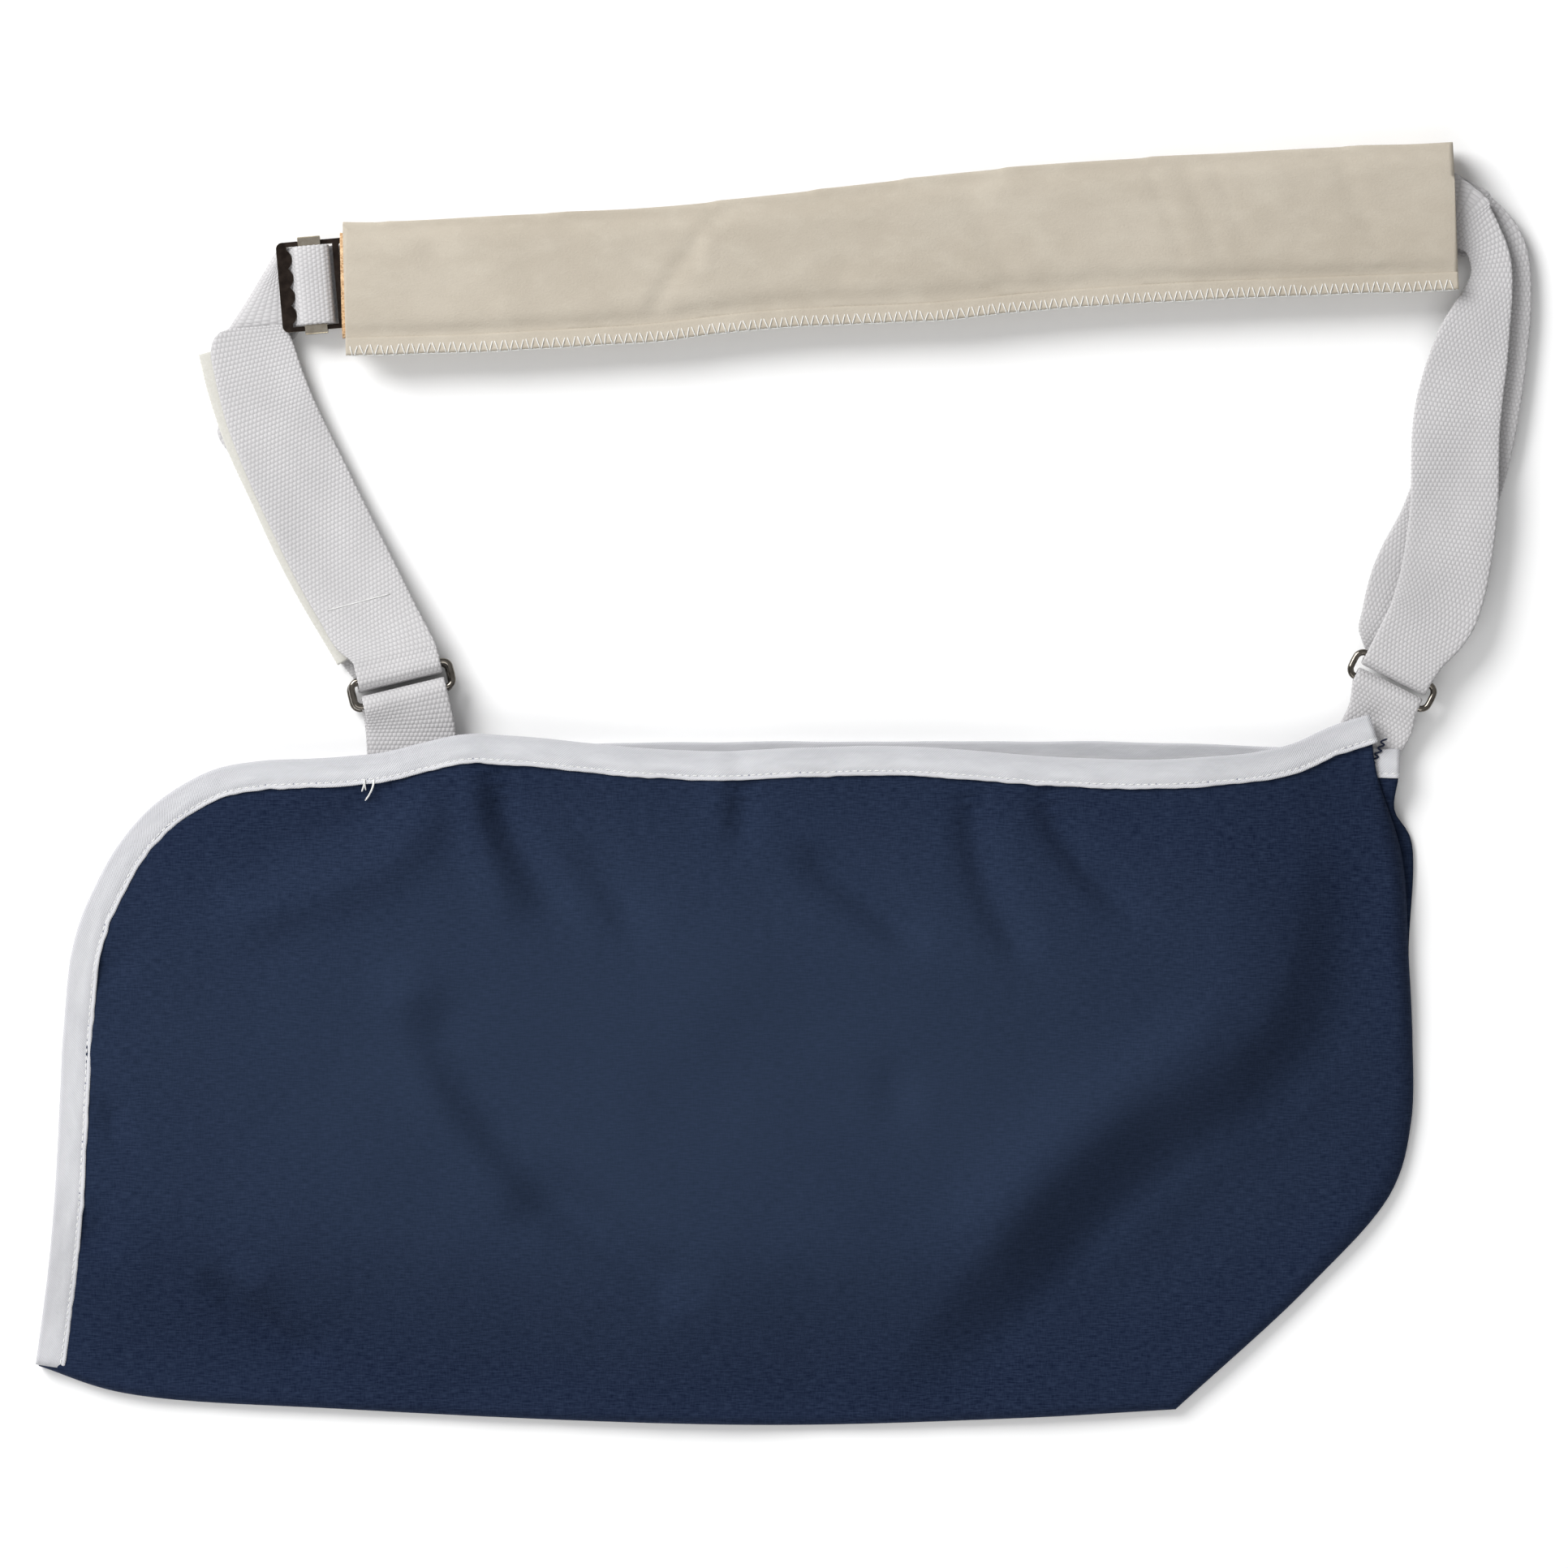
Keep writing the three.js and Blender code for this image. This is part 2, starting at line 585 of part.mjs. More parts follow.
// The long strap: its fixed end is folded round the buckle's end rail, then it runs through the pad, down
// to the right ring, back up behind itself, and through the pad again to the underside of the buckle.
function addShoulderStrap() {
  const middle = FRAME_HEIGHT / 2;
  const endRail = FRAME_LENGTH - 1.15;
  const fixedEnd = [
    [endRail + 5, STRAP_FIXED_END_Z], [endRail, STRAP_FIXED_END_Z],
    [endRail - 2.2, STRAP_FIXED_END_Z + 0.2], [endRail - 2.9, 7.1],
    [endRail - 2.2, STRAP_UPPER_Z - 0.1], [endRail, STRAP_UPPER_Z],
  ].map(([x, z]) => ({
    at: onBuckle(x, middle, z), across: buckleY, width: BUCKLE_WEB_WIDTH,
  }));
  const ring = rings.right;
  const bend = 12; // width of the webbing where it is crumpled at the turn
  const front = smoothRun([
    [196.4, 163.2, STRAP_UPPER_Z, 18], [202.4, 156, STRAP_UPPER_Z, bend], [204.4, 147, STRAP_UPPER_Z, bend],
    [198.6, 126, STRAP_UPPER_Z, 22], [194.4, 105, STRAP_UPPER_Z], [193.2, 76, 8.6],
    [188.2, 51, 8.8], [181.2, 39.6, 8.8, ring.webWidth + 1],
  ], 1, 22);
  const loop = roundRail(ring, 1, LOOSE_RADIUS, 90, 270, 8);
  const bendBack = 16;
  const back = smoothRun([
    [178.6, 42.2, 3.9, WEB_WIDTH], [182.6, 59, 3.9], [190.4, 74.3, 4], [196.4, 91, STRAP_LOWER_Z],
    [201.8, 114, STRAP_LOWER_Z, 24], [208.2, 145, STRAP_LOWER_Z, bendBack],
    [205.6, 157, STRAP_LOWER_Z, bendBack], [197, 163.2, STRAP_LOWER_Z, 21],
  ], -1, 22);
  const stations = [
    ...fixedEnd,
    ...insidePad(STRAP_UPPER_Z, 0.06, 0.995, 1, 14),
    ...front, ...loop, ...back,
    ...insidePad(STRAP_LOWER_Z, 0.995, 0.02, 1, 14),
    { at: onBuckle(BAR_CENTRE + 2.6, middle, STRAP_LOWER_Z), across: buckleY, width: BUCKLE_WEB_WIDTH },
  ];
  add('shoulder_strap', ribbon(stations), webbing);
}

// The left strap: from under the buckle it turns down to the two left rings and folds up through them.
// Its front layer is the closure, which peels off a sewn patch on the layer behind it.
const STRAP_REST_Z = 1.2;
const CLOSURE_Z = 4.9;
const PATCH_THICK = 0.8;
const restLine = [[-152, 108], [-142.6, 86.5], [-132.4, 65]]; // from the top down
const closureLine = [
  [-118.2, 46, 8.2, 26.4], [-129.3, 66.5, 5.6, 27.8], [-139.6, 87.5, CLOSURE_Z, 27.6],
  [-148.9, 108.5, CLOSURE_Z + 0.1, 26.2], [-155.7, 132, CLOSURE_Z + 0.8, 23.4],
];
const FOLD_REACH = 4; // the left strap's front layer is its own piece from here on, past the rings
const CLOSURE_END_TURN = 5; // the free end is cut almost level

function addLeftStrap() {
  const middle = FRAME_HEIGHT / 2;
  const ring = rings.left_front;
  const upper = smoothRun([
    [-147.5, 143.4, 3.4, 20], [-154.5, 140.2, 2.4, 17], [-158.8, 132, 1.3, 19],
    ...restLine.map(([x, y]) => [x, y, STRAP_REST_Z]), [-120.6, 45, 0.8, 25],
  ], 1, 18);
  const foldOver = [
    ...roundRail(rings.left_back, 1, SNUG_RADIUS, -90, -180, 3),
    ...roundRail(ring, 1, SNUG_RADIUS, 180, 90, 3),
  ];
  const lead = rail(ring, 1).addScaledVector(horizontal(ring.turn + 90), FOLD_REACH);
  lead.z += SNUG_RADIUS;
  const stations = [
    { at: onBuckle(BAR_CENTRE - 2.6, middle, STRAP_LOWER_Z), across: buckleY.clone().negate(), width: BUCKLE_WEB_WIDTH },
    { at: onBuckle(1, middle, STRAP_LOWER_Z), across: buckleY.clone().negate(), width: BUCKLE_WEB_WIDTH },
    ...upper, ...foldOver, { at: lead, across: horizontal(ring.turn), width: ring.webWidth },
  ];
  add('strap_left', ribbon(stations), webbing);
}

function addClosure() {
  const ring = rings.left_front;
  const start = rail(ring, 1).addScaledVector(horizontal(ring.turn + 90), FOLD_REACH + SPLIT_GAP + GAP);
  start.z += SNUG_RADIUS;
  const first = { at: start, across: horizontal(ring.turn), width: ring.webWidth };
  const run = smoothRun(closureLine, -1, 12);
  run.at(-1).across = horizontal(CLOSURE_END_TURN);
  add('strap_hook_end', ribbon([first, ...run]), webbing);
  const patch = (line, z, width) => {
    return ribbon(smoothRun(line.map(([x, y]) => [x, y, z, width]), -1, 6), PATCH_THICK);
  };
  const loopZ = STRAP_REST_Z + WEB_THICK / 2 + GAP + PATCH_THICK / 2;
  const hookZ = CLOSURE_Z - WEB_THICK / 2 - GAP - PATCH_THICK / 2;
  const loopLine = [[-122.3, 47.6], ...restLine.toReversed(), [-157.2, 127.5]];
  const hookLine = closureLine.slice(2).map(([x, y]) => [x + 0.8, y - 5]);
  add('loop_patch', patch(loopLine, loopZ, WEB_WIDTH), creamPatch);
  add('hook_patch', patch(hookLine, hookZ, WEB_WIDTH - 4), creamPatch);
}

addPouch();
addSeams();
addRingsAndTabs();
addPad();
addBuckle();
addStrapOverBar();
addShoulderStrap();
addLeftStrap();
addClosure();

export default sling;
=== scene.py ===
"""Arm sling: the looks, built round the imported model. Lengths are metres; MM turns millimetres into them."""

import json
import math

import bmesh
import bpy
import numpy as np
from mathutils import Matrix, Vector, noise


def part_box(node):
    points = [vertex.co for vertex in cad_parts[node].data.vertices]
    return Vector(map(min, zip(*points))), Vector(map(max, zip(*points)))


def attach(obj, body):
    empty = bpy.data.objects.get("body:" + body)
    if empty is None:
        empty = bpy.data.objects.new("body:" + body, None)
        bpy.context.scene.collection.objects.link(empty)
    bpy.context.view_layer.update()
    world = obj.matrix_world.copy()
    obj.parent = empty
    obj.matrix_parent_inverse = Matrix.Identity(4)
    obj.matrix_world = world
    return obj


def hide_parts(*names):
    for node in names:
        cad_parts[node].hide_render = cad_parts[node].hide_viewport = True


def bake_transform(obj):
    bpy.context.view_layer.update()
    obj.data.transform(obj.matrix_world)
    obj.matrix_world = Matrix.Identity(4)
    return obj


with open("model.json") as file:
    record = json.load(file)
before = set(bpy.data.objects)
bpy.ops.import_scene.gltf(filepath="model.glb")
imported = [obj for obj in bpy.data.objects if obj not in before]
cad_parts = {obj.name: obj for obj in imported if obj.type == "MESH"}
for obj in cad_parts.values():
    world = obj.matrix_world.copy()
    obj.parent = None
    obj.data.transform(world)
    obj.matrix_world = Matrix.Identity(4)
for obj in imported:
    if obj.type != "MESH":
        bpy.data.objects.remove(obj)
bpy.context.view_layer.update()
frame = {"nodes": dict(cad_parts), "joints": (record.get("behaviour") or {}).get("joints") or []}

MM = 0.001
UP = np.array([0.0, 0.0, 1.0])
TO_ELBOW = np.array([1.0, 0.0, 0.0])
TO_PAD = np.array([0.0, 1.0, 0.0])
FLAT = np.array([1.0, 1.0, 0.0])
IMAGE_WIDTH = 0.4544  # width of the floor that the camera sees
SAME_PLACE = 0.002 * MM  # corners of the CAD this close are one

CLOTH_THICK = 0.5 * MM
WEB_THICK = 1.2 * MM
SEWN_THICK = 2.6 * MM  # the two layers of a tab's sewn end
TACK_THICK = 0.5 * MM
PATCH_THICK = 0.8 * MM
SEAM_THICK = 5 * MM  # the strip under the pad's lower edge
TAPE_WIDTH = 8.5 * MM
STITCH_INSET = 1.3 * MM  # from the inner edge of the binding to its line of stitches
STITCH_PITCH = 2.1 * MM
STITCH_RISE = 0.53 * MM  # of those stitches above the cloth's middle
PICK = 1.24 * MM  # from one pebble of the webbing to the next


# ---- Reading the frame ----


def welded(node):
    """A bmesh of a CAD node, with its doubled corners merged."""
    mesh = bmesh.new()
    mesh.from_mesh(frame["nodes"][node].data)
    bmesh.ops.remove_doubles(mesh, verts=mesh.verts, dist=SAME_PLACE)
    mesh.verts.ensure_lookup_table()
    return mesh


def unevenness(sides):
    """How unlike a strip's two long sides these are: its width varies little, and lies mostly along X."""
    width = sides[1] - sides[0]
    return np.linalg.norm(width, axis=1).std() + 0.1 * MM * np.abs(unit(width)[:, 1]).mean()


def stations(node, thickness=WEB_THICK):
    """(middle, half width vector) at each section of a flat strip of this thickness, from end to end."""
    mesh = welded(node)
    rungs = [e for e in mesh.edges if abs(e.calc_length() - thickness) < 0.004 * thickness]
    rung_at = {v: rung for rung in rungs for v in rung.verts}
    loop = [rungs[0]]
    while True:
        third = [v for face in loop[-1].link_faces for v in face.verts if v not in loop[-1].verts]
        fresh = [rung_at[v] for v in third if v in rung_at and rung_at[v] not in loop]
        if not fresh:
            break
        loop.append(fresh[0])
    ring = np.array([(rung.verts[0].co + rung.verts[1].co) / 2 for rung in loop])
    mesh.free()
    half = len(ring) // 2
    turned = [np.roll(ring, -k, axis=0) for k in range(half)]
    one, other = min(((r[:half], r[:half - 1:-1]) for r in turned), key=unevenness)
    return list(zip((one + other) / 2, (other - one) / 2))


def outline(node):
    """The corners of a flat plate's upper face, in order round it."""
    mesh = welded(node)
    bmesh.ops.dissolve_limit(mesh, angle_limit=0.01, verts=mesh.verts, edges=mesh.edges)
    top = max(mesh.faces, key=lambda face: face.calc_area() * (face.normal.z > 0.5))
    points = [np.array(v.co) for v in top.verts]
    mesh.free()
    return points


def joined_outline(node, cut_end):
    """The outline of a plate that is cut in two across X, without the corners of the cut."""
    whole, end = outline(node), outline(cut_end)
    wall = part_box(node)[0].x
    end_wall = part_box(cut_end)[1].x

    def open_at(points, x):
        on_wall = [i for i, p in enumerate(points) if abs(p[0] - x) < 0.01 * MM]
        after = next(i for i in on_wall if (i + 1) % len(points) not in on_wall)
        rolled = points[after + 1:] + points[:after + 1]
        return [p for p in rolled if abs(p[0] - x) >= 0.01 * MM]

    return open_at(whole, wall) + open_at(end, end_wall)


def ordered(rows, direction):
    """The same sections, in the order that runs in this direction."""
    return rows if (rows[-1][0] - rows[0][0]) @ direction >= 0 else rows[::-1]


def centre_of(node):
    low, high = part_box(node)
    return (low + high) / 2


def joint(name):
    return next(j for j in frame["joints"] if j["name"] == name)


# ---- Curves and surfaces ----


def smooth_step(value, low, high):
    t = np.clip((value - low) / (high - low), 0, 1)
    return t * t * (3 - 2 * t)


def between(first, second, low, high, t):
    """The row at t, on a straight run from first at low to second at high."""
    return (high - t) / (high - low) * first + (t - low) / (high - low) * second


def catmull_rom(rows, spacing):
    """Rows of numbers, of which the first three are a place, filled in smoothly about every spacing."""
    rows = np.array(rows, float)
    padded = np.vstack([2 * rows[0] - rows[1], rows, 2 * rows[-1] - rows[-2]])
    knots = np.concatenate([[0], np.cumsum(np.sqrt(np.linalg.norm(np.diff(padded[:, :3], axis=0), axis=1)))])
    filled = []
    for i in range(1, len(padded) - 2):
        p0, p1, p2, p3 = padded[i - 1:i + 3]
        t0, t1, t2, t3 = knots[i - 1:i + 3]
        steps = max(2, math.ceil(np.linalg.norm((p2 - p1)[:3]) / spacing))
        for t in np.linspace(t1, t2, steps, endpoint=False):
            a1, a2, a3 = between(p0, p1, t0, t1, t), between(p1, p2, t1, t2, t), between(p2, p3, t2, t3, t)
            b1, b2 = between(a1, a2, t0, t2, t), between(a2, a3, t1, t3, t)
            filled.append(between(b1, b2, t1, t2, t))
    return np.array(filled + [rows[-1]])


def along(points):
    """Distance along a line of points, at each point."""
    return np.concatenate([[0], np.cumsum(np.linalg.norm(np.diff(points, axis=0), axis=1))])


def resample(points, distances):
    """The points at these distances along a line of points."""
    run = along(points)
    return np.column_stack([np.interp(distances, run, points[:, k]) for k in range(points.shape[1])])


def tangents(points):
    steps = np.gradient(points, axis=0)
    return steps / np.linalg.norm(steps, axis=1)[:, None]


def unit(vectors):
    return vectors / np.linalg.norm(vectors, axis=-1, keepdims=True)


def ripple(places, scale, seed):
    """Smooth noise in -1..1 at each place, the same on each run."""
    offset = Vector((seed * 7.31, seed * 3.17, seed * 1.73))
    return np.array([noise.noise(Vector(p) * scale + offset) for p in places])


def waver(distance, fineness, *channel):
    """Smooth noise in -1..1 along a line, the same on each run."""
    return noise.noise(Vector((distance * fineness, *channel)))


def distance_to(points, line):
    """Distance in plan from each point to a line of points."""
    nearest = np.full(len(points), 1e9)
    for a, b in zip(line[:-1, :2], line[1:, :2]):
        step = b - a
        t = np.clip((points[:, :2] - a) @ step / (step @ step), 0, 1)
        gap = np.linalg.norm(points[:, :2] - a - t[:, None] * step, axis=1)
        nearest = np.minimum(nearest, gap)
    return nearest


# ---- Making pieces ----


def add_object(name, data):
    made = bpy.data.objects.new(name, data)
    bpy.context.scene.collection.objects.link(made)
    return made


def add_mesh(name, points, faces, uv, material):
    """A smooth-shaded object. uv has one pair, in metres, for each point, or is None."""
    mesh = bpy.data.meshes.new(name)
    mesh.from_pydata([tuple(p) for p in points], [], [tuple(int(i) for i in f) for f in faces])
    mesh.polygons.foreach_set("use_smooth", [True] * len(mesh.polygons))
    if uv is not None:
        layer = mesh.uv_layers.new(name="Weave")
        corner = np.zeros(len(mesh.loops), np.int32)
        mesh.loops.foreach_get("vertex_index", corner)
        layer.data.foreach_set("uv", np.array(uv, np.float32)[corner].ravel())
    mesh.update()
    mesh.materials.append(material)
    return add_object(name, mesh)


def loft_faces(rows, count, first=0, closed_rows=False):
    """Faces of a closed skin of rows sections of count points each, with flat ends."""
    faces = []
    spans = rows if closed_rows else rows - 1
    for i in range(spans):
        here, there = first + i * count, first + (i + 1) % rows * count
        for k in range(count):
            m = (k + 1) % count
            faces.append((here + k, here + m, there + m, there + k))
    if not closed_rows:
        faces.append(tuple(first + k for k in range(count))[::-1])
        faces.append(tuple(first + (rows - 1) * count + k for k in range(count)))
    return faces


def ribbon_section(half_width, thickness):
    """The section of a flat strip with round edges, as (across, up) pairs, anticlockwise."""
    radius = thickness / 2
    flat = half_width - radius
    top = [(flat * k, radius) for k in np.linspace(1, -1, 15)]
    turns = np.linspace(0, math.pi, 7)[1:-1]
    left = [(-flat - radius * math.sin(a), radius * math.cos(a)) for a in turns]
    return top + left + [(-x, -y) for x, y in top] + [(-x, -y) for x, y in left]


def round_off(from_end, radius):
    """How far a round corner of this radius cuts in from the side, at each distance from the end."""
    return radius - np.sqrt(np.maximum(radius ** 2 - np.maximum(radius - from_end, 0) ** 2, 0))


def make_ribbon(name, rows, material, wave=0.0, calm=(), seed=1, corners=(0, 0), thickness=WEB_THICK):
    """Webbing through rows of (middle, half width vector). wave is how far it ripples, and it lies calm
    within 9 mm of the places in calm. corners are the radii of the two corners of its far end."""
    rows = catmull_rom([np.concatenate(row) for row in rows], PICK / 2)
    middle, across = rows[:, :3], rows[:, 3:]
    half = np.linalg.norm(across, axis=1)
    side = across / half[:, None]
    half += 0.07 * MM * (-1) ** np.arange(len(half))  # the weft turns back at the selvedge
    up = unit(np.cross(tangents(middle), side))
    run = along(middle)
    quiet = np.ones(len(middle))
    for place in calm:
        quiet *= smooth_step(np.linalg.norm(middle - np.array(place), axis=1), 9 * MM, 24 * MM)
    cut = [round_off(run[-1] - run, radius) for radius in corners]
    points, uv = [], []
    for i in range(len(middle)):
        low, high = cut[0][i] - half[i], half[i] - cut[1][i]
        for x, y in ribbon_section((high - low) / 2, thickness):
            x += (low + high) / 2
            place = middle[i] + side[i] * x
            lift = wave * quiet[i] * waver(run[i], 45, x * 60, seed * 9.7)
            points.append(place + up[i] * (y + lift))
            uv.append((x, run[i] if y >= 0 else -run[i]))
    count = len(points) // len(middle)
    return add_mesh(name, points, loft_faces(len(middle), count), uv, material)


def tube_mesh(lines, radius, sides=6):
    """Points, faces and uv of round threads along several lines of points."""
    points, faces, uv = [], [], []
    for line in lines:
        line = np.array(line, float)
        direction = tangents(line)
        first = np.cross(direction, UP)
        weak = np.linalg.norm(first, axis=1) < 0.05
        first[weak] = np.cross(direction[weak], [1.0, 0.0, 0.0])
        first = unit(first)
        second = np.cross(direction, first)
        start, run = len(points), along(line)
        for i in range(len(line)):
            taper = 0.55 if i in (0, len(line) - 1) else 1.0
            for k in range(sides):
                a = 2 * math.pi * k / sides
                points.append(line[i] + taper * radius * (math.cos(a) * first[i] + math.sin(a) * second[i]))
                uv.append((k / sides * radius * 6, run[i]))
        faces += loft_faces(len(line), sides, start)
    return points, faces, uv


def make_threads(name, lines, radius, material):
    points, faces, uv = tube_mesh(lines, radius)
    return add_mesh(name, points, faces, uv, material)


def modify(piece, kind, **settings):
    """Adds a modifier with these settings."""
    modifier = piece.modifiers.new(kind, kind)
    for key, value in settings.items():
        setattr(modifier, key, value)


def settle(piece, slot, body, *nodes):
    """Attaches a piece to its body unless it is blended, and hides the CAD nodes it stands for. slot, its
    material slot, is not used.
    """
    if body:
        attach(piece, body)
    if nodes:
        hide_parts(*nodes)


# ---- Materials ----


class Finish:
    """A node material, with short calls for the nodes that the materials share."""

    def __init__(self, name, roughness, metallic=0.0, sheen=0.0, sheen_tint=(1, 1, 1)):
        self.material = bpy.data.materials.new(name)
        self.material.use_nodes = True
        self.tree = self.material.node_tree
        self.surface = self.tree.nodes["Principled BSDF"]
        settings = {
            "Roughness": roughness, "Metallic": metallic, "Specular IOR Level": 0.5 if metallic else 0.08,
            "Sheen Weight": sheen, "Sheen Roughness": 0.5, "Sheen Tint": (*sheen_tint, 1),
        }
        for slot, value in settings.items():
            self.surface.inputs[slot].default_value = value

    def node(self, kind, inputs=(), **settings):
        made = self.tree.nodes.new(kind)
        for key, value in settings.items():
            setattr(made, key, value)
        for slot, value in dict(inputs).items():
            if isinstance(value, bpy.types.NodeSocket):
                self.tree.links.new(value, made.inputs[slot])
            else:
                made.inputs[slot].default_value = value
        return made

    def sums(self, operation, a, b=0.0):
        return self.node("ShaderNodeMath", {0: a, 1: b}, operation=operation).outputs[0]

    def times(self, a, b):
        return self.sums("MULTIPLY", a, b)

    def place(self, source, scale):
        """The texture place, in metres from uv or from the object, times scale."""
        coordinate = self.node("ShaderNodeTexCoord").outputs[source]
        return self.node("ShaderNodeMapping", {"Vector": coordinate, "Scale": scale}).outputs[0]

    def axes(self, source):
        split = self.node("ShaderNodeSeparateXYZ", {0: self.node("ShaderNodeTexCoord").outputs[source]})
        return split.outputs[0], split.outputs[1]

    def noise(self, source, scale, detail=2.0, roughness=0.5):
        inputs = {"Vector": self.place(source, scale), "Scale": 1.0, "Detail": detail, "Roughness": roughness}
        return self.node("ShaderNodeTexNoise", inputs).outputs[0]

    def mix(self, factor, first, second):
        made = self.node("ShaderNodeMix", {"Factor": factor}, data_type="RGBA")
        for slot, colour in ((6, first), (7, second)):
            if isinstance(colour, bpy.types.NodeSocket):
                self.tree.links.new(colour, made.inputs[slot])
            else:
                made.inputs[slot].default_value = (*colour, 1)
        return made.outputs[2]

    def spread(self, value, low, high):
        """value, stretched so that low..high becomes 0..1."""
        inputs = {"Value": value, "From Min": low, "From Max": high}
        return self.node("ShaderNodeMapRange", inputs).outputs[0]

    def ramp(self, value, low, high, first, second):
        """The first colour where value is low or less, and the second where it is high or more."""
        return self.mix(self.spread(value, low, high), first, second)

    def colour(self, value):
        self.tree.links.new(value, self.surface.inputs["Base Color"])

    def roughness(self, value):
        self.tree.links.new(value, self.surface.inputs["Roughness"])

    def bump(self, height, distance, strength=1.0):
        inputs = {"Height": height, "Distance": distance, "Strength": strength}
        before = self.surface.inputs["Normal"].links
        if before:
            inputs["Normal"] = before[0].from_socket
        made = self.node("ShaderNodeBump", inputs)
        self.tree.links.new(made.outputs[0], self.surface.inputs["Normal"])

    def stripes(self, across, down, pitch):
        """Slanting waves from -1 to 1."""
        slant = self.sums("ADD", across, down)
        return self.sums("SINE", self.times(slant, 2 * math.pi / pitch))

    def cells(self, across, down, pitch):
        """Rows of round pebbles, each row half a pebble on: 1 in their middles and 0 between them."""
        row = self.sums("DIVIDE", down, pitch)
        shift = self.times(self.sums("FLOOR", row), 0.5)
        column = self.sums("ADD", self.sums("DIVIDE", across, pitch), shift)
        heights = []
        for value in (row, column):
            centred = self.sums("SUBTRACT", self.sums("FRACT", value), 0.5)
            heights.append(self.sums("COSINE", self.times(centred, math.pi)))
        return self.times(*heights)


# The cloth is painted lighter in an ellipse across its middle, as a painted pool of light.
LIGHT_POOL_CENTRE = np.array(centre_of("front_panel"))[:2] - (55 * MM, 0)
LIGHT_POOL_REACH = (200 * MM, 85 * MM)


def navy_cloth():
    finish = Finish("navy_cloth", 0.92, sheen=0.03, sheen_tint=(0.45, 0.6, 1))
    slub = finish.noise("UV", (330, 2400, 1), 2)
    warp = finish.noise("UV", (2600, 420, 1), 2)
    thread = finish.sums("ADD", finish.times(slub, 0.65), finish.times(warp, 0.35))
    patches = finish.noise("UV", (14, 18, 1), 3, 0.6)
    base = finish.ramp(patches, 0.3, 0.7, (0.0032, 0.0072, 0.0230), (0.0056, 0.0112, 0.0305))
    off_pool = [finish.sums("DIVIDE", finish.sums("SUBTRACT", value, centre), reach)
           for value, centre, reach in zip(finish.axes("UV"), LIGHT_POOL_CENTRE, LIGHT_POOL_REACH)]
    away = finish.sums("ADD", *[finish.times(side, side) for side in off_pool])
    uneven = finish.sums("ADD", away, finish.times(patches, 0.6))
    pool_light = finish.sums("SUBTRACT", 1.0, finish.spread(uneven, 0.35, 1.5))
    # Painted light: inside the pool the cloth's colour is mixed towards a lighter navy.
    base = finish.mix(pool_light, base, (0.0155, 0.0260, 0.0495))
    finish.colour(finish.ramp(thread, 0.35, 0.72, base, (0.022, 0.034, 0.068)))
    finish.bump(thread, 0.12 * MM, 0.8)
    return finish.material


def binding_tape():
    finish = Finish("white_binding", 0.88, sheen=0.1)
    across, down = finish.axes("UV")
    twill = finish.stripes(across, down, 0.7 * MM)
    soft = finish.noise("UV", (300, 90, 1), 3)
    shade = finish.ramp(soft, 0.3, 0.7, (0.54, 0.542, 0.568), (0.61, 0.612, 0.635))
    # Painted shade: towards the tape's rolled outer edge its colour is darker, with its twill lines showing
    # there.
    outer = finish.spread(across, -4.5 * MM, -0.5 * MM)
    shaded_twill = finish.ramp(twill, -1.0, 1.0, (0.40, 0.40, 0.43), (0.56, 0.56, 0.58))
    shade = finish.mix(finish.times(outer, 0.75), shade, shaded_twill)
    # A needle hole shows at each end of a stitch.
    step = finish.sums("SUBTRACT", finish.sums("FRACT", finish.sums("DIVIDE", down, STITCH_PITCH)), 0.5)
    along_seam = finish.times(step, STITCH_PITCH)
    from_seam = finish.sums("ADD", across, TAPE_WIDTH - STITCH_INSET)
    squares = [finish.times(side, side) for side in (along_seam, from_seam)]
    gap = finish.sums("SQRT", finish.sums("ADD", *squares))
    hole = finish.sums("LESS_THAN", gap, 0.26 * MM)
    open_holes = finish.spread(finish.noise("UV", (1, 190, 1), 1), 0.42, 0.62)
    hole = finish.times(hole, open_holes)
    finish.colour(finish.mix(finish.times(hole, 0.75), shade, (0.12, 0.13, 0.2)))
    finish.bump(twill, 0.05 * MM, 0.7)
    finish.bump(soft, 0.5 * MM, 0.6)
    return finish.material


def webbing():
    finish = Finish("white_webbing", 0.85, sheen=0.15)
    tint, hollow_shade = np.array((0.54, 0.531, 0.538)), (0.435, 0.427, 0.434)
    across, down = finish.axes("UV")
    pebbles = finish.cells(across, down, PICK)
    fibres = finish.noise("UV", (3200, 900, 1), 2)
    clouds = finish.noise("UV", (60, 40, 1), 3)
    light = finish.ramp(clouds, 0.3, 0.7, tint * 0.93, tint * 1.07)
    # Painted shade: the colour is darker between the pebbles, in the hollows of the weave.
    finish.colour(finish.ramp(pebbles, 0.0, 0.4, hollow_shade, light))
    finish.bump(pebbles, 0.24 * MM, 0.7)
    finish.bump(fibres, 0.08 * MM, 0.6)
    return finish.material


def brushed_velour():
    finish = Finish("cream_velour", 0.95, sheen=0.12, sheen_tint=(1, 0.95, 0.85))
    nap = finish.noise("Object", (1500, 1900, 1500), 4, 0.65)
    brushed = finish.noise("Object", (90, 160, 90), 4, 0.6)
    clouds = finish.noise("Object", (16, 26, 16), 3, 0.55)
    base = finish.ramp(clouds, 0.32, 0.68, (0.425, 0.378, 0.310), (0.49, 0.442, 0.37))
    worn = finish.times(finish.spread(brushed, 0.45, 0.75), 0.35)
    finish.colour(finish.mix(worn, base, (0.56, 0.515, 0.435)))
    finish.bump(nap, 0.25 * MM, 0.5)
    finish.bump(brushed, 0.5 * MM, 0.35)
    return finish.material


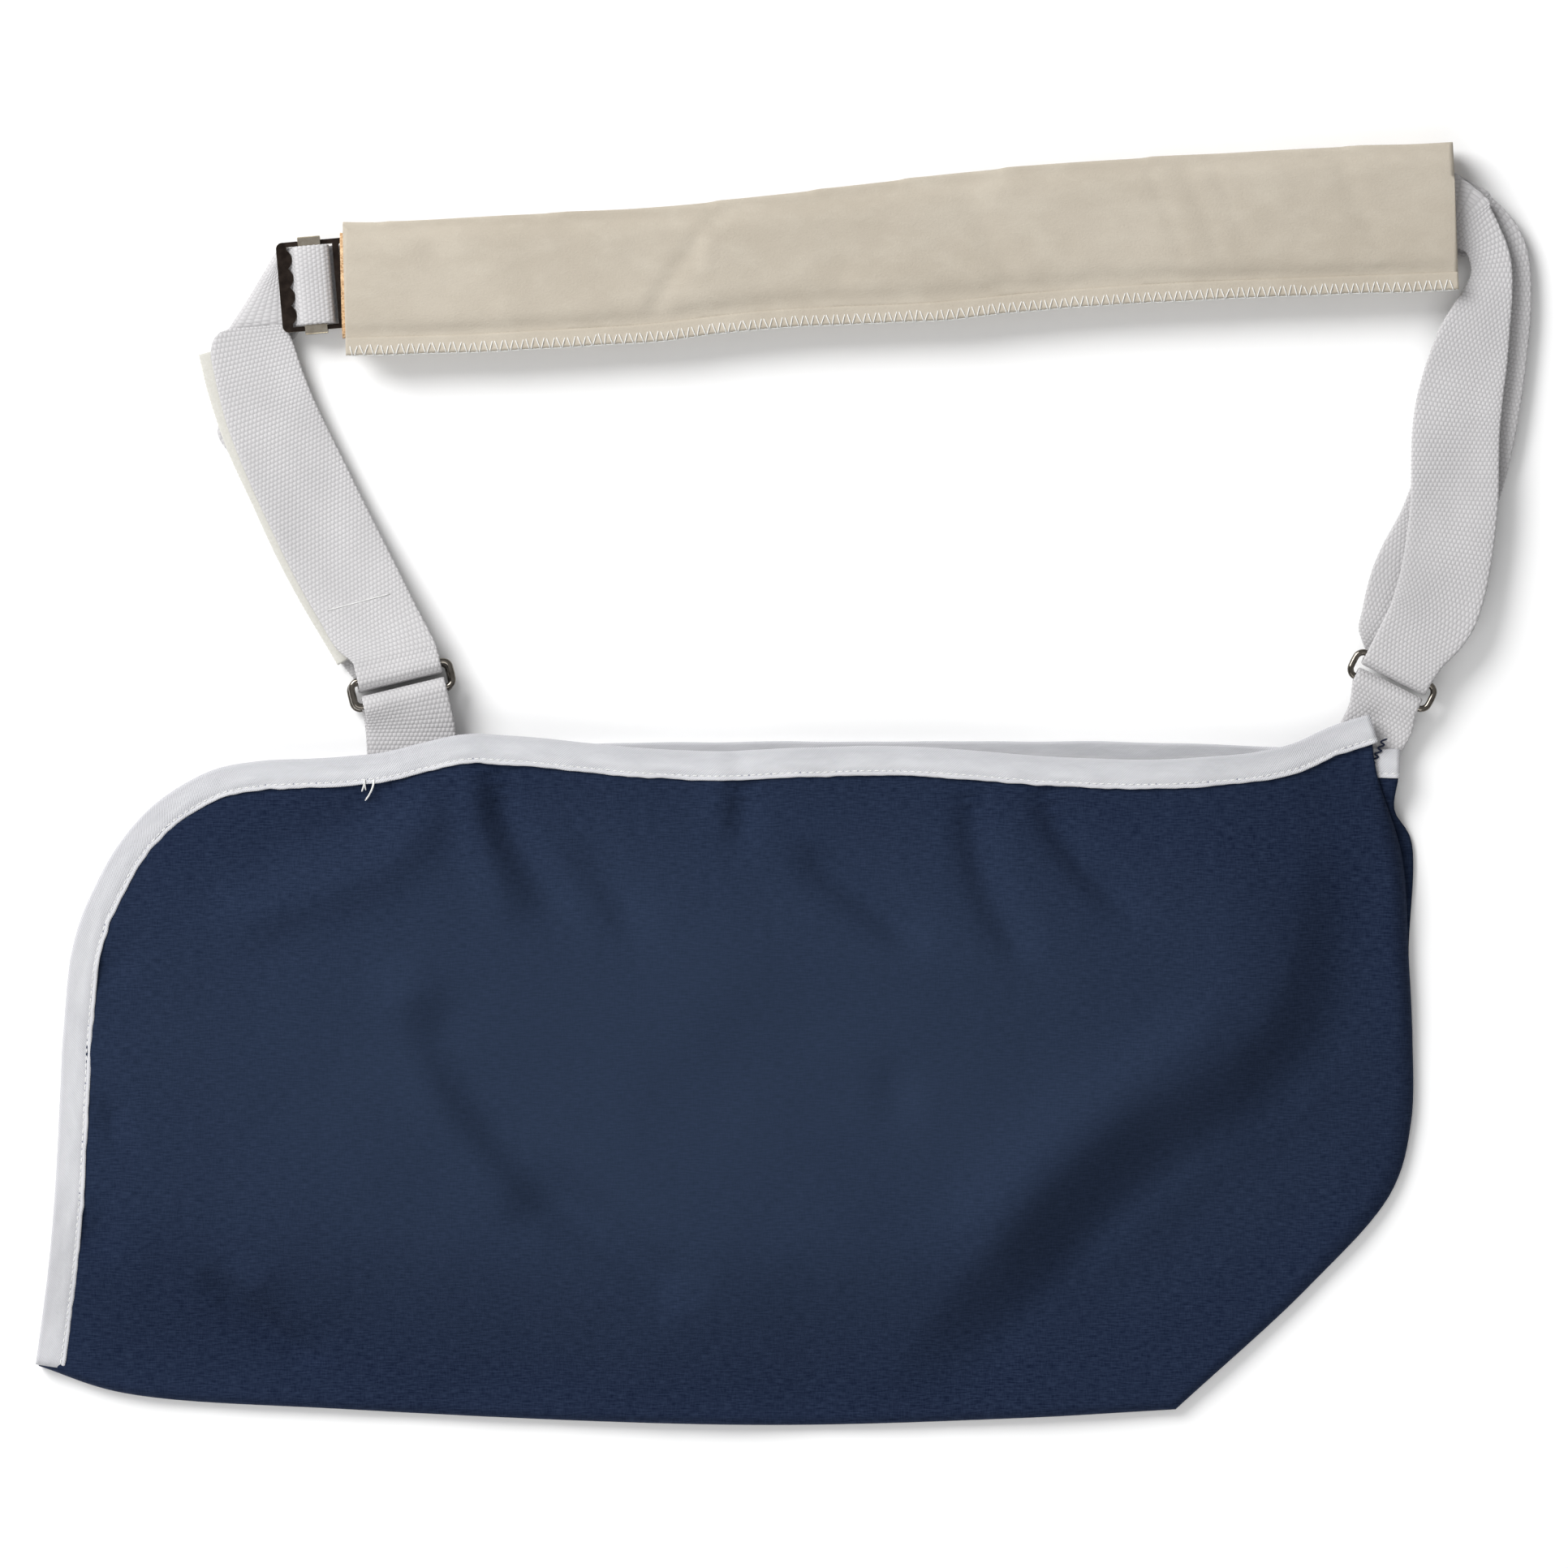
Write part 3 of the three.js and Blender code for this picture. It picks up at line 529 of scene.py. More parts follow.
def open_foam():
    finish = Finish("tan_foam", 1.0)
    cells = finish.node("ShaderNodeTexVoronoi", {"Vector": finish.place("Object", (1400,) * 3), "Scale": 1.0})
    age = finish.noise("Object", (220,) * 3, 3)
    base = finish.ramp(age, 0.3, 0.7, (0.62, 0.40, 0.22), (0.76, 0.55, 0.34))
    finish.colour(finish.ramp(cells.outputs[0], 0.2, 0.8, (0.42, 0.25, 0.13), base))
    finish.bump(cells.outputs[0], 0.4 * MM, 0.8)
    return finish.material


def thread(name, dark, light):
    finish = Finish(name, 0.75, sheen=0.1)
    across, down = finish.axes("UV")
    twist = finish.stripes(across, down, 0.5 * MM)
    finish.colour(finish.ramp(twist, -1, 1, dark, light))
    finish.bump(twist, 0.06 * MM, 0.6)
    return finish.material


def hook_and_loop():
    finish = Finish("cream_patch", 1.0, sheen=0.3)
    tufts = finish.noise("UV", (1300, 1300, 1), 4, 0.7)
    finish.colour(finish.ramp(tufts, 0.3, 0.7, (0.53, 0.52, 0.475), (0.62, 0.61, 0.57)))
    finish.bump(tufts, 0.25 * MM, 0.7)
    return finish.material


def plated(name, base, worn, low, high):
    """Nickel plate: smudged, and browner where the plating is thin."""
    finish = Finish(name, low, metallic=1.0)
    smudge = finish.noise("Object", (260,) * 3, 4, 0.6)
    grain = finish.noise("Object", (900, 5200, 900), 2)
    finish.colour(finish.ramp(smudge, 0.35, 0.7, base, worn))
    limits = finish.node("ShaderNodeMapRange", {"Value": smudge, "To Min": low, "To Max": high})
    finish.roughness(limits.outputs[0])
    finish.bump(grain, 0.02 * MM, 0.4)
    return finish.material


def white_floor():
    finish = Finish("floor", 0.9)
    grain = finish.noise("Object", (3, 3, 3), 2)
    finish.colour(finish.mix(grain, (0.95, 0.95, 0.95), (0.97, 0.97, 0.97)))
    return finish.material


CLOTH = navy_cloth()
TAPE = binding_tape()
WEBBING = webbing()
VELOUR = brushed_velour()
FOAM = open_foam()
WHITE_THREAD = thread("white_thread", (0.76, 0.76, 0.74), (0.92, 0.92, 0.91))
NAVY_THREAD = thread("navy_thread", (0.006, 0.009, 0.02), (0.02, 0.03, 0.07))
PATCH = hook_and_loop()
# Painted reflection: the rings' nickel is coloured dark, standing in for the dark surroundings that polished
# metal reflects.
NICKEL = plated("nickel", (0.22, 0.20, 0.175), (0.10, 0.088, 0.074), 0.06, 0.16)
BRIGHT_NICKEL = plated("bright_nickel", (0.62, 0.57, 0.48), (0.40, 0.34, 0.27), 0.1, 0.25)
DARK_NICKEL = plated("dark_nickel", (0.020, 0.015, 0.013), (0.045, 0.034, 0.028), 0.3, 0.5)
# Painted highlight: a pale gold colour for the buckle's bevelled edges.
EDGE_HIGHLIGHT = plated("edge_highlight", (0.72, 0.64, 0.47), (0.30, 0.25, 0.18), 0.15, 0.3)


# ---- Pouch ----

BACK_Z = centre_of("back_panel").z
FRONT_Z = centre_of("front_panel").z
MOUTH_RISE = 3.2 * MM  # from there up to the cloth at the mouth line
MOUTH_Y = 8 * MM
FRONT_SLOPE = 0.0332  # rise of the front panel towards the mouth
REST_Z = 4.8 * MM  # middle of the front cloth where it lies down on the back cloth
ROLL_RADIUS = 3 * MM  # of the front cloth at the fold, and twice that at the elbow end
BINDING_SPACING = 1.4 * MM


class Outline:
    """The edge of a panel in plan: the bound mouth and hand end, then the fold, then the elbow end."""

    def __init__(self, points):
        ring = np.array(points, float)[:, :2]
        before = unit(ring - np.roll(ring, 1, axis=0))
        after = unit(np.roll(ring, -1, axis=0) - ring)
        turning = np.arccos(np.clip((before * after).sum(axis=1), -1, 1))
        tip, dart, elbow = sorted(np.argsort(turning)[-3:], key=lambda i: ring[i, 0])
        if ring[dart, 1] > ring[elbow, 1]:
            dart, elbow = elbow, dart
        self.fold = self.side(ring, tip, dart)
        self.elbow = self.side(ring, dart, elbow)
        self.bound = self.side(ring, elbow, tip)
        self.closed = np.vstack([self.fold, self.elbow[1:]])

    @staticmethod
    def side(ring, start, end):
        """The points from one corner to the next, anticlockwise, a short way apart."""
        count = (end - start) % len(ring) + 1
        picked = ring[(start + np.arange(count)) % len(ring)]
        flat = np.column_stack([picked, np.zeros(len(picked))])
        return catmull_rom(flat, 1.5 * MM)

    def shoulder(self):
        """The place on the bound edge that is farthest from its chord: the round corner at the hand."""
        chord = self.bound[-1] - self.bound[0]
        reach = np.abs(np.cross(self.bound - self.bound[0], chord)[:, 2])
        return int(np.argmax(reach))

    def grid(self, columns, rows):
        """A patch of points that fills the outline, closer together at its edges."""

        def eased(count):
            shares = np.linspace(0, 1, count)
            return shares - 0.62 * np.sin(2 * math.pi * shares) / (2 * math.pi)

        def spaced(line, shares):
            return resample(line, shares * along(line)[-1])

        corner = self.shoulder()
        u, v = eased(columns), eased(rows)
        low, high = spaced(self.fold, u), spaced(self.bound[:corner + 1][::-1], u)
        left, right = spaced(self.bound[corner:][::-1], v), spaced(self.elbow, v)
        a, b = u[None, :, None], v[:, None, None]
        ruled = (1 - b) * low[None] + b * high[None] + (1 - a) * left[:, None] + a * right[:, None]
        corners = (1 - b) * ((1 - a) * low[0] + a * low[-1]) + b * ((1 - a) * high[0] + a * high[-1])
        return (ruled - corners).reshape(-1, 3)


FRONT = Outline(joined_outline("front_panel", "front_panel_wrist_end"))
BACK = Outline(outline("back_panel"))
POUCH_LOW = np.array(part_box("front_panel_wrist_end")[0])
POUCH_SIZE = np.array(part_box("front_panel")[1]) - POUCH_LOW


def on_pouch(*pairs):
    """Places on the front cloth, given as shares of its width and height."""
    return np.array([[*(POUCH_LOW[:2] + POUCH_SIZE[:2] * pair), 0.0] for pair in pairs])


# Soft unevenness of the front cloth: how fine it is, which noise, and how high in millimetres.
SOFT_FOLDS = [(13, 3, 2.2), (34, 1, 0.9), (90, 2, 0.22)]

# Each crease: places along it, as shares of the pouch's width and height, then its half width and how far
# it stands up (or sinks, if negative), in millimetres.
CREASES = [
    (((0.33, 0.93), (0.345, 0.84), (0.385, 0.70)), 4.5, -3.45),
    (((0.315, 0.93), (0.32, 0.84), (0.345, 0.70)), 5, 2.76),
    (((0.508, 0.93), (0.512, 0.86), (0.507, 0.79)), 3.5, -2.76),
    (((0.495, 0.93), (0.498, 0.82)), 4, 1.84),
    (((0.55, 0.82), (0.60, 0.74), (0.65, 0.66)), 5, -4.37),
    (((0.675, 0.90), (0.69, 0.76), (0.72, 0.64)), 5, -3.91),
    (((0.725, 0.90), (0.755, 0.80), (0.80, 0.71)), 4.5, -3.91),
    (((0.39, 0.83), (0.42, 0.75), (0.44, 0.66)), 5, -2.76),
    (((0.275, 0.60), (0.30, 0.50), (0.35, 0.36), (0.41, 0.26), (0.48, 0.16)), 8, -4.83),
    (((0.265, 0.66), (0.30, 0.45), (0.36, 0.28)), 9, 3.68),
    (((0.30, 0.91), (0.26, 0.80), (0.19, 0.74), (0.13, 0.70)), 8, 2.76),
    (((0.28, 0.93), (0.23, 0.85), (0.14, 0.78)), 8, -1.61),
    (((0.12, 0.21), (0.155, 0.14), (0.21, 0.06)), 5, -3.68),
    (((0.14, 0.22), (0.18, 0.15)), 6, 2.76),
    (((0.67, 0.24), (0.76, 0.42), (0.87, 0.58)), 9, 3.22),
    (((0.76, 0.19), (0.85, 0.36), (0.95, 0.50)), 8, 1.84),
    (((0.60, 0.47), (0.65, 0.455)), 9, -2.76),
    (((0.045, 0.47), (0.07, 0.38)), 4, -2.76),
    (((0.04, 0.62), (0.075, 0.66)), 4, -2.3),
    (((0.035, 0.30), (0.06, 0.22)), 5, -2.3),
]

# The cloth is puffed up to the left of this line, and falls steeply to the elbow end across it.
PUFF_EDGE = on_pouch((0.64, 0.02), (0.70, 0.18), (0.79, 0.36), (0.91, 0.53), (0.94, 0.72), (0.945, 0.93))
PUFF = 13 * MM
PUFF_AT_MOUTH = 0.35  # share of the puff that is left near the mouth


def puffed(points):
    """How far the loose cloth stands up off its lie at each point."""
    line = catmull_rom(PUFF_EDGE, 4 * MM)[:, :2]
    ahead = unit(np.gradient(line, axis=0))
    gap = np.linalg.norm(points[:, None, :2] - line[None], axis=2)
    nearest = np.argmin(gap, axis=1)
    reach = points[:, :2] - line[nearest]
    leftward = ahead[nearest][:, 0] * reach[:, 1] - ahead[nearest][:, 1] * reach[:, 0]
    inland = smooth_step(distance_to(points, FRONT.closed), 2 * MM, 55 * MM)
    below_mouth = 1 - smooth_step(points[:, 1], -60 * MM, 5 * MM)
    share = PUFF_AT_MOUTH + (1 - PUFF_AT_MOUTH) * below_mouth
    return PUFF * smooth_step(leftward, -13 * MM, 12 * MM) * inland * share


def creased(points):
    """How far the creases lift the cloth at each point."""
    lift = np.zeros(len(points))
    for places, width, height in CREASES:
        smooth = catmull_rom(on_pouch(*places), 4 * MM)
        run = along(smooth)
        from_end = np.minimum(run, run[-1] - run)
        fades = np.zeros(len(points))
        nearest = np.full(len(points), 1e9)
        for centre, fade in zip(smooth, smooth_step(from_end, -4 * MM, 14 * MM)):
            gap = np.linalg.norm(points[:, :2] - centre[:2], axis=1)
            closer = gap < nearest
            nearest[closer] = gap[closer]
            fades[closer] = fade
        lift += height * MM * fades * np.exp(-(nearest / (width * MM)) ** 2)
    return lift


def front_height(points):
    """Height of the middle of the front cloth: propped up by the webbing at the mouth, and lower below."""
    propped = smooth_step(points[:, 1], -100 * MM, 10 * MM)
    top = FRONT_Z + MOUTH_RISE + FRONT_SLOPE * (points[:, 1] - MOUTH_Y)
    return REST_Z + (top - REST_Z) * propped


def front_surface(points):
    """The height with the creases, and rolled down to the back cloth at the fold and the elbow."""
    soft = sum(ripple(points, fineness, seed) * height * MM for fineness, seed, height in SOFT_FOLDS)
    lowest = BACK_Z + 1.3 * MM
    high = np.maximum(front_height(points) + soft + creased(points) + puffed(points), lowest)
    landing = BACK_Z + CLOTH_THICK + 0.05 * MM
    away = distance_to(points, FRONT.closed)
    radius = ROLL_RADIUS * (1 + smooth_step(points[:, 0], 120 * MM, 175 * MM))
    rolled = np.sqrt(1 - (1 - np.clip(away / radius, 0, 1)) ** 2)
    free = smooth_step(points[:, 1], -25 * MM, 8 * MM)
    rolled = rolled + (1 - rolled) * free
    return landing + (high - landing) * rolled


def back_surface(points):
    """The back cloth lies flat, but climbs over the sewn end of the right tab."""
    low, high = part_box("tab_right_sewn_end")
    over = np.array([(low.x + high.x) / 2, (low.y + high.y) / 2 + 2 * MM])
    away = np.linalg.norm(points[:, :2] - over, axis=1)
    hump = (high.z + CLOTH_THICK - BACK_Z) * (1 - smooth_step(away, 13 * MM, 34 * MM))
    return BACK_Z + hump + ripple(points, 40, 5) * 0.25 * MM * smooth_step(-points[:, 1], 0, 20 * MM)


def make_sheet(name, edge, surface, columns, rows):
    """A cloth of even thickness that fills an outline at the heights that surface gives."""
    plan = edge.grid(columns, rows)
    middle = surface(plan)
    count = len(plan)
    top = plan + UP * (middle + CLOTH_THICK / 2)[:, None]
    bottom = plan + UP * (middle - CLOTH_THICK / 2)[:, None]
    index = np.arange(count).reshape(rows, columns)
    a, b, c, d = index[:-1, :-1], index[:-1, 1:], index[1:, 1:], index[1:, :-1]
    over = np.stack([a, b, c, d], axis=-1).reshape(-1, 4)
    rim = np.concatenate([index[0], index[1:, -1], index[-1, -2::-1], index[-2:0:-1, 0]])
    after = np.roll(rim, -1)
    wall = np.stack([rim, rim + count, after + count, after], axis=-1)
    faces = [*over, *(over[:, ::-1] + count), *wall]
    return add_mesh(name, [*top, *bottom], faces, [*plan[:, :2], *plan[:, :2]], CLOTH)


def bound_line(edge, surface):
    """Places along a binding's outer edge, and the outward direction at each."""
    cloth_inset = 0.8 * MM  # the cloth stops this far inside the tape
    tape_middle = 3 * MM  # the tape lies at the cloth's height this far in
    line = resample(edge.bound, np.arange(0, along(edge.bound)[-1], BINDING_SPACING))
    outward = np.cross(tangents(line), UP)
    wander = ripple(line, 55, 8) * 0.3 * MM
    height = surface(line - outward * tape_middle)
    line = line + outward * (cloth_inset + wander)[:, None]
    line[:, 2] = height
    return line, outward


def tape_section(puff):
    """The folded tape's section, as (outward, up) pairs: round at the edge, pinched at the stitches."""
    half = 0.95 * MM + puff
    pinch = 0.62 * MM
    seam = STITCH_INSET - TAPE_WIDTH
    lip = 0.35 * MM  # from the stitches to the tape's full height beside them
    round_edge = [(-half * (1 - math.sin(a)), half * math.cos(a)) for a in np.linspace(0, math.pi, 9)]
    upper = [
        (-TAPE_WIDTH, pinch + 0.05 * MM), (-TAPE_WIDTH + 0.5 * MM, pinch + 0.14 * MM),
        (seam - lip, pinch + 0.05 * MM), (seam, pinch - 0.12 * MM), (seam + lip, pinch + 0.05 * MM),
        (-TAPE_WIDTH + 2.6 * MM, half - 0.12 * MM), (-5 * MM, half), (-2.8 * MM, half + 0.05 * MM),
    ]
    slot = CLOTH_THICK / 2 + 0.06 * MM
    inner = [(-TAPE_WIDTH, -slot), (-0.5 * MM, -slot), (-0.5 * MM, slot), (-TAPE_WIDTH, slot)]
    lower = [(x, -y) for x, y in reversed(upper)]
    return (upper + round_edge + lower + inner)[::-1]


def make_binding(name, line, outward, seed):
    """White tape folded over the edge of the cloth, lightly puckered along its stitches."""
    points, uv = [], []
    for place, out, at in zip(line, outward, along(line)):
        pucker = 0.16 * MM * waver(at, 420, seed, 5)
        lean = 0.3 * MM * (waver(at, 85, seed, 9) + waver(at, 260, seed, 13))
        for x, y in tape_section(0.12 * MM * waver(at, 60, seed, 0)):
            near_seam = math.exp(-((x + TAPE_WIDTH - STITCH_INSET) / (2.4 * MM)) ** 2)
            reach = x - lean * x / TAPE_WIDTH
            points.append(place + out * reach + UP * (y + math.copysign(pucker * near_seam, y)))
            uv.append((x, at))
    return add_mesh(name, points, loft_faces(len(line), len(points) // len(line)), uv, TAPE)


def make_stitches(name, line, outward):
    """The lockstitches that hold the tape: a short bead of thread for each."""
    seam = line - outward * (TAPE_WIDTH - STITCH_INSET)
    seam[:, 2] += STITCH_RISE
    shares = np.linspace(0, 1, 5)
    lines = []
    for start in np.arange(0.3 * STITCH_PITCH, along(seam)[-1] - STITCH_PITCH, STITCH_PITCH):
        bead = resample(seam, start + (0.18 + 0.68 * shares) * STITCH_PITCH)
        bead[:, 2] += 0.12 * MM * np.sin(math.pi * shares)
        lines.append(bead)
    return make_threads(name, lines, 0.15 * MM, WHITE_THREAD)


def blend_flap(piece):
    """Bakes the transform of a piece of the front layer into its mesh."""
    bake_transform(piece)


def make_layer(name, edge, surface, columns, rows, seed):
    """One layer of the pouch: the cloth, its binding and the binding's stitches."""
    line, outward = bound_line(edge, surface)
    pieces = [
        (make_sheet(f"{name}_cloth", edge, surface, columns, rows), "navy_cloth", "panel"),
        (make_binding(f"{name}_tape", line, outward, seed), "white_binding", "binding"),
        (make_stitches(f"{name}_tape_stitches", line, outward), "white_thread", None),
    ]
    for piece, slot, part in pieces:
        nodes = [f"{name}_{part}"] if part else []
        if name == "front":
            blend_flap(piece)
            settle(piece, slot, None, *nodes, *[f"{node}_wrist_end" for node in nodes])
        else:
            settle(piece, slot, "pouch", *nodes)


# ---- Rings and tabs ----

PLACES = ("left_front", "left_back", "right")
PLUMP = 0.5 * MM  # the webbing stands this much prouder where it is folded round a ring
TURN_REACH = 3.2 * MM  # how far from a rail's middle that fold reaches


def set_finish(node, material):
    node.data.materials.clear()
    node.data.materials.append(material)


def make_rings():
    """The CAD's rings, with their corners joined and rounded by subdivision."""
    for place in PLACES:
        ring = frame["nodes"][f"ring_{place}"]
        modify(ring, "WELD", merge_threshold=SAME_PLACE)
        modify(ring, "SUBSURF", levels=2, render_levels=2)
        set_finish(ring, NICKEL)
        ring.data.polygons.foreach_set("use_smooth", [True] * len(ring.data.polygons))


def plumped(rows, ring):
    """The sections, moved outwards a little where the webbing is folded round a rail of this ring."""
    swing = joint(f"{ring}_swing")
    centre, axis = np.array(centre_of(ring)), np.array(swing["axis"])
    outward = np.cross(UP, axis)
    half_height = abs((np.array(swing["pos_m"]) - centre) @ outward)
    moved = []
    for middle, across in rows:
        reach = middle - centre
        reach = reach - axis * (reach @ axis)
        away = reach - outward * half_height * np.sign(reach @ outward)
        close = np.linalg.norm(away) < TURN_REACH
        moved.append((middle + unit(away) * PLUMP * close, across))
    return moved


def blend_tab(piece):
    """Bakes the transform of a tab's webbing into its mesh."""
    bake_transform(piece)


def make_tab(place):
    """A tab from the pouch, round its ring and back, with its two layers sewn flat between the panels."""
    ring = f"ring_{place}"
    tab = plumped(ordered(stations(f"tab_{place}"), -UP), ring)
    sewn = ordered(stations(f"tab_{place}_sewn_end", SEWN_THICK), TO_PAD)
    across = tab[0][1] * 0.97  # sewn a little narrower
    layer = UP * (tab[0][0][2] - tab[-1][0][2]) / 2
    low, half_way = sewn[0][0], (sewn[0][0] + sewn[-1][0]) / 2
    over = [(low + layer, across), (half_way + layer, across)]
    under = [(half_way - layer, across), (low - layer, across)]
    piece = make_ribbon(f"tab_webbing_{place}", over + tab + under, WEBBING, 0.12 * MM, [centre_of(ring)])
    blend_tab(piece)
    settle(piece, "white_webbing", None, f"tab_{place}", f"tab_{place}_sewn_end")


def make_bartack(place):
    """A dense zigzag of navy thread that fixes the end of a tab."""
    (start, across), (end, _) = stations(f"bartack_{place}", TACK_THICK)
    turns = 16
    shares = np.linspace(-1, 1, 2 * turns + 1)
    zigzag = [(start if k % 2 else end) + across * share for k, share in enumerate(shares)]
    lines = [catmull_rom(zigzag, 0.8 * MM)]
    for row in (start, (start + end) / 2, end):
        lines.append(row + across * np.linspace(-1, 1, 12)[:, None])
    if place == "right":
        lines.append(tack_on_binding())
    piece = make_threads(f"bartack_threads_{place}", lines, 0.28 * MM, NAVY_THREAD)
    settle(piece, "navy_thread", "pouch", f"bartack_{place}")


def tack_on_binding():
    """A short zigzag through the back binding, beside the corner of the front one."""
    start = FRONT.bound[0] + np.array((4.3, -6.2, 0)) * MM
    end = FRONT.bound[0] + np.array((0.9, -13.2, 0)) * MM
    turns = 9
    zigzag = []
    for k in range(turns):
        spot = start + (end - start) * k / (turns - 1)
        spot[0] += 0.75 * MM * (-1) ** k
        spot[2] = back_surface(spot[None])[0] + 1.25 * MM
        zigzag.append(spot)
    return catmull_rom(zigzag, 0.6 * MM)


# ---- Straps ----

CALM_PLACES = [centre_of(node) for node in ("ring_left_front", "ring_right", "buckle_frame")]

# Left of the bar's last bend, the webbing slopes down under the frame's teeth: how far left, how far down.
TEETH_SLOPE = [(0.5 * MM, 1.2 * MM), (1.3 * MM, 2.3 * MM), (3.1 * MM, 3.0 * MM)]


def make_shoulder_webbing():
    rows = plumped(stations("shoulder_strap"), "ring_right")
    piece = make_ribbon("shoulder_webbing", rows, WEBBING, 0.5 * MM, CALM_PLACES, seed=3)
    settle(piece, "white_webbing", "harness", "shoulder_strap")


def fold_over(before, incoming, outgoing, after, reach):
    """Sections where a strap is folded flat on itself: it runs in, turns over along a slanting crease
    and leaves in its new direction, one layer lower."""
    run_in = unit((incoming[0] - before[0]) * FLAT)
    run_out = unit((after[0] - outgoing[0]) * FLAT)
    half = np.linalg.norm(outgoing[1])
    crease = unit(run_in + run_out)
    slant = crease * half / np.linalg.norm(np.cross(crease, run_in))
    slant *= np.sign(slant @ incoming[1])
    centre = incoming[0] + run_in * reach
    outward = unit(run_in - run_out)
    upper, lower = incoming[0][2] - WEB_THICK / 2, outgoing[0][2] + WEB_THICK / 4
    levels = [(upper, 0.0), ((upper + lower) / 2, 0.8 * MM), (lower, 0.0)]
    rows = [(centre * FLAT + UP * z + outward * out, slant) for z, out in levels]
    square = np.cross(run_out, UP)
    square *= half * np.sign(square @ slant)
    sense = -1 if slant @ run_out < 0 else 1
    inner = centre + sense * slant - sense * square
    return rows + [(inner * FLAT + UP * outgoing[0][2], square)]


def left_rows():
    """The left strap from the buckle, where it is folded over, down to the rings and round their rails."""
    rows = ordered(stations("strap_left"), -TO_PAD)
    for ring in ("ring_left_front", "ring_left_back"):
        rows = plumped(rows, ring)
    below_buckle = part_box("buckle_frame")[0].y - 20 * MM
    straight = next(i for i, row in enumerate(rows) if row[0][1] < below_buckle)
    turned = fold_over(rows[0], rows[1], rows[straight], rows[straight + 1], 7.5 * MM)
    return rows[:2] + turned + rows[straight:]


def make_left_webbing():
    """The back layer as far as the rings, then the front layer, which comes round them and closes on it."""
    left = left_rows()
    middle_z = (centre_of("ring_left_front").z + centre_of("ring_left_back").z) / 2
    turn = next(i for i in range(len(left) // 2, len(left)) if left[i][0][2] > middle_z)
    piece = make_ribbon("left_webbing", left[:turn + 1], WEBBING, 0.4 * MM, CALM_PLACES, seed=4)
    settle(piece, "white_webbing", "harness", "strap_left")

    closure = ordered(stations("strap_hook_end"), TO_PAD)
    front = [(middle, across * np.sign(across @ left[turn][1])) for middle, across in closure]
    corners = (7 * MM, 1.5 * MM)[::int(np.sign(front[-1][1][0]))]
    rows = left[turn:] + front
    piece = make_ribbon("closure_webbing", rows, WEBBING, 0.4 * MM, CALM_PLACES, seed=5, corners=corners)
    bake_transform(piece)
    settle(piece, "white_webbing", None, "strap_hook_end")
    make_closure_stitches(closure)


def make_closure_stitches(closure):
    """A slanting line of white stitches across the closure, above the rings."""
    distance, slope = 17 * MM, 3.4 * MM
    run = along(np.array([middle for middle, across in closure]))
    at = int(np.searchsorted(run, distance))
    middle, across = closure[at]
    slant = -unit(closure[at + 1][0] - middle) * slope * np.sign(across[0])
    surface = middle + UP * (WEB_THICK / 2 + 0.12 * MM)
    line = surface + (across + slant) * np.linspace(-0.75, 0.6, 16)[:, None]
    piece = make_threads("closure_stitches", [line], 0.14 * MM, WHITE_THREAD)
    settle(piece, "white_thread", "closure")


def make_bar_webbing():
    """The webbing that rolls over the floating bar. On the right it bulges where it turns down."""
    rightward = np.array(joint("bar_slide")["axis"])
    rows = ordered(stations("strap_over_bar"), -rightward)
    for k, bulge in ((1, 0.9 * MM), (2, 0.7 * MM)):
        rows[k] = (rows[k][0] + rightward * bulge, rows[k][1])
    bend, across = rows[-2]
    slope = [(bend - rightward * out - UP * down, across) for out, down in TEETH_SLOPE]
    rows = [(middle, across * 1.02) for middle, across in rows[:-1] + slope]
    piece = make_ribbon("bar_webbing", rows, WEBBING)
    settle(piece, "white_webbing", "floating_bar", "strap_over_bar")


def make_patch(node, body, longer):
    """One half of the closure. Its lower end is drawn on by longer towards the rings."""
    rows = stations(node, PATCH_THICK)
    if longer:
        rows = ordered(rows, -TO_PAD)
        low, across = rows[-1]
        rows.append((low + unit(low - rows[-2][0]) * longer + UP * 0.5 * MM, across))
    piece = make_ribbon(f"{node}_tape", rows, PATCH, 0.15 * MM, thickness=PATCH_THICK)
    settle(piece, "cream_patch", body, node)


# ---- Buckle ----


def make_buckle_part(name, material, edge_width):
    """A stamped CAD node with its edges broken, and painted bright along them as a painted highlight."""
    node = frame["nodes"][name]
    modify(node, "WELD", merge_threshold=SAME_PLACE)
    modify(node, "BEVEL", width=edge_width, segments=2, material=1,
           limit_method="ANGLE", angle_limit=math.radians(35))
    set_finish(node, material)
    # Painted highlight on the bevel faces.
    node.data.materials.append(EDGE_HIGHLIGHT)


# ---- Neck pad ----

PAD_LOW, PAD_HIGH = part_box("pad_cover")
PAD_THICK = PAD_HIGH.z - PAD_LOW.z
PAD_MIDDLE_Z = (PAD_LOW.z + PAD_HIGH.z) / 2
PAD_SIDES = 40  # points round a section of the pad
COVER_THICK = 0.7 * MM
SEAM_RISE = 4.8 * MM  # of the seam above the middle of the pad
SEAM_SHARE = 0.65  # of the pad's thickness that is left at the seam
FOAM_WALL = 1.5 * MM


def pad_frames():
    """(lower edge, direction up the pad, width) at each section of the pad, from its left end."""
    seam = ordered(stations("pad_overlock", SEAM_THICK), TO_ELBOW)
    places = np.array([middle for middle, across in seam])
    cover = np.array([v.co for v in frame["nodes"]["pad_cover"].data.vertices])
    rows = []
    for place, ahead in zip(places, tangents(places)):
        upward = np.cross(UP, ahead)
        reach = cover - place
        here = reach[np.abs(reach @ ahead) < 2.5 * MM] @ upward
        rows.append((place + upward * here.min(), upward, here.max() - here.min()))
    return rows


PAD_ROWS = pad_frames()

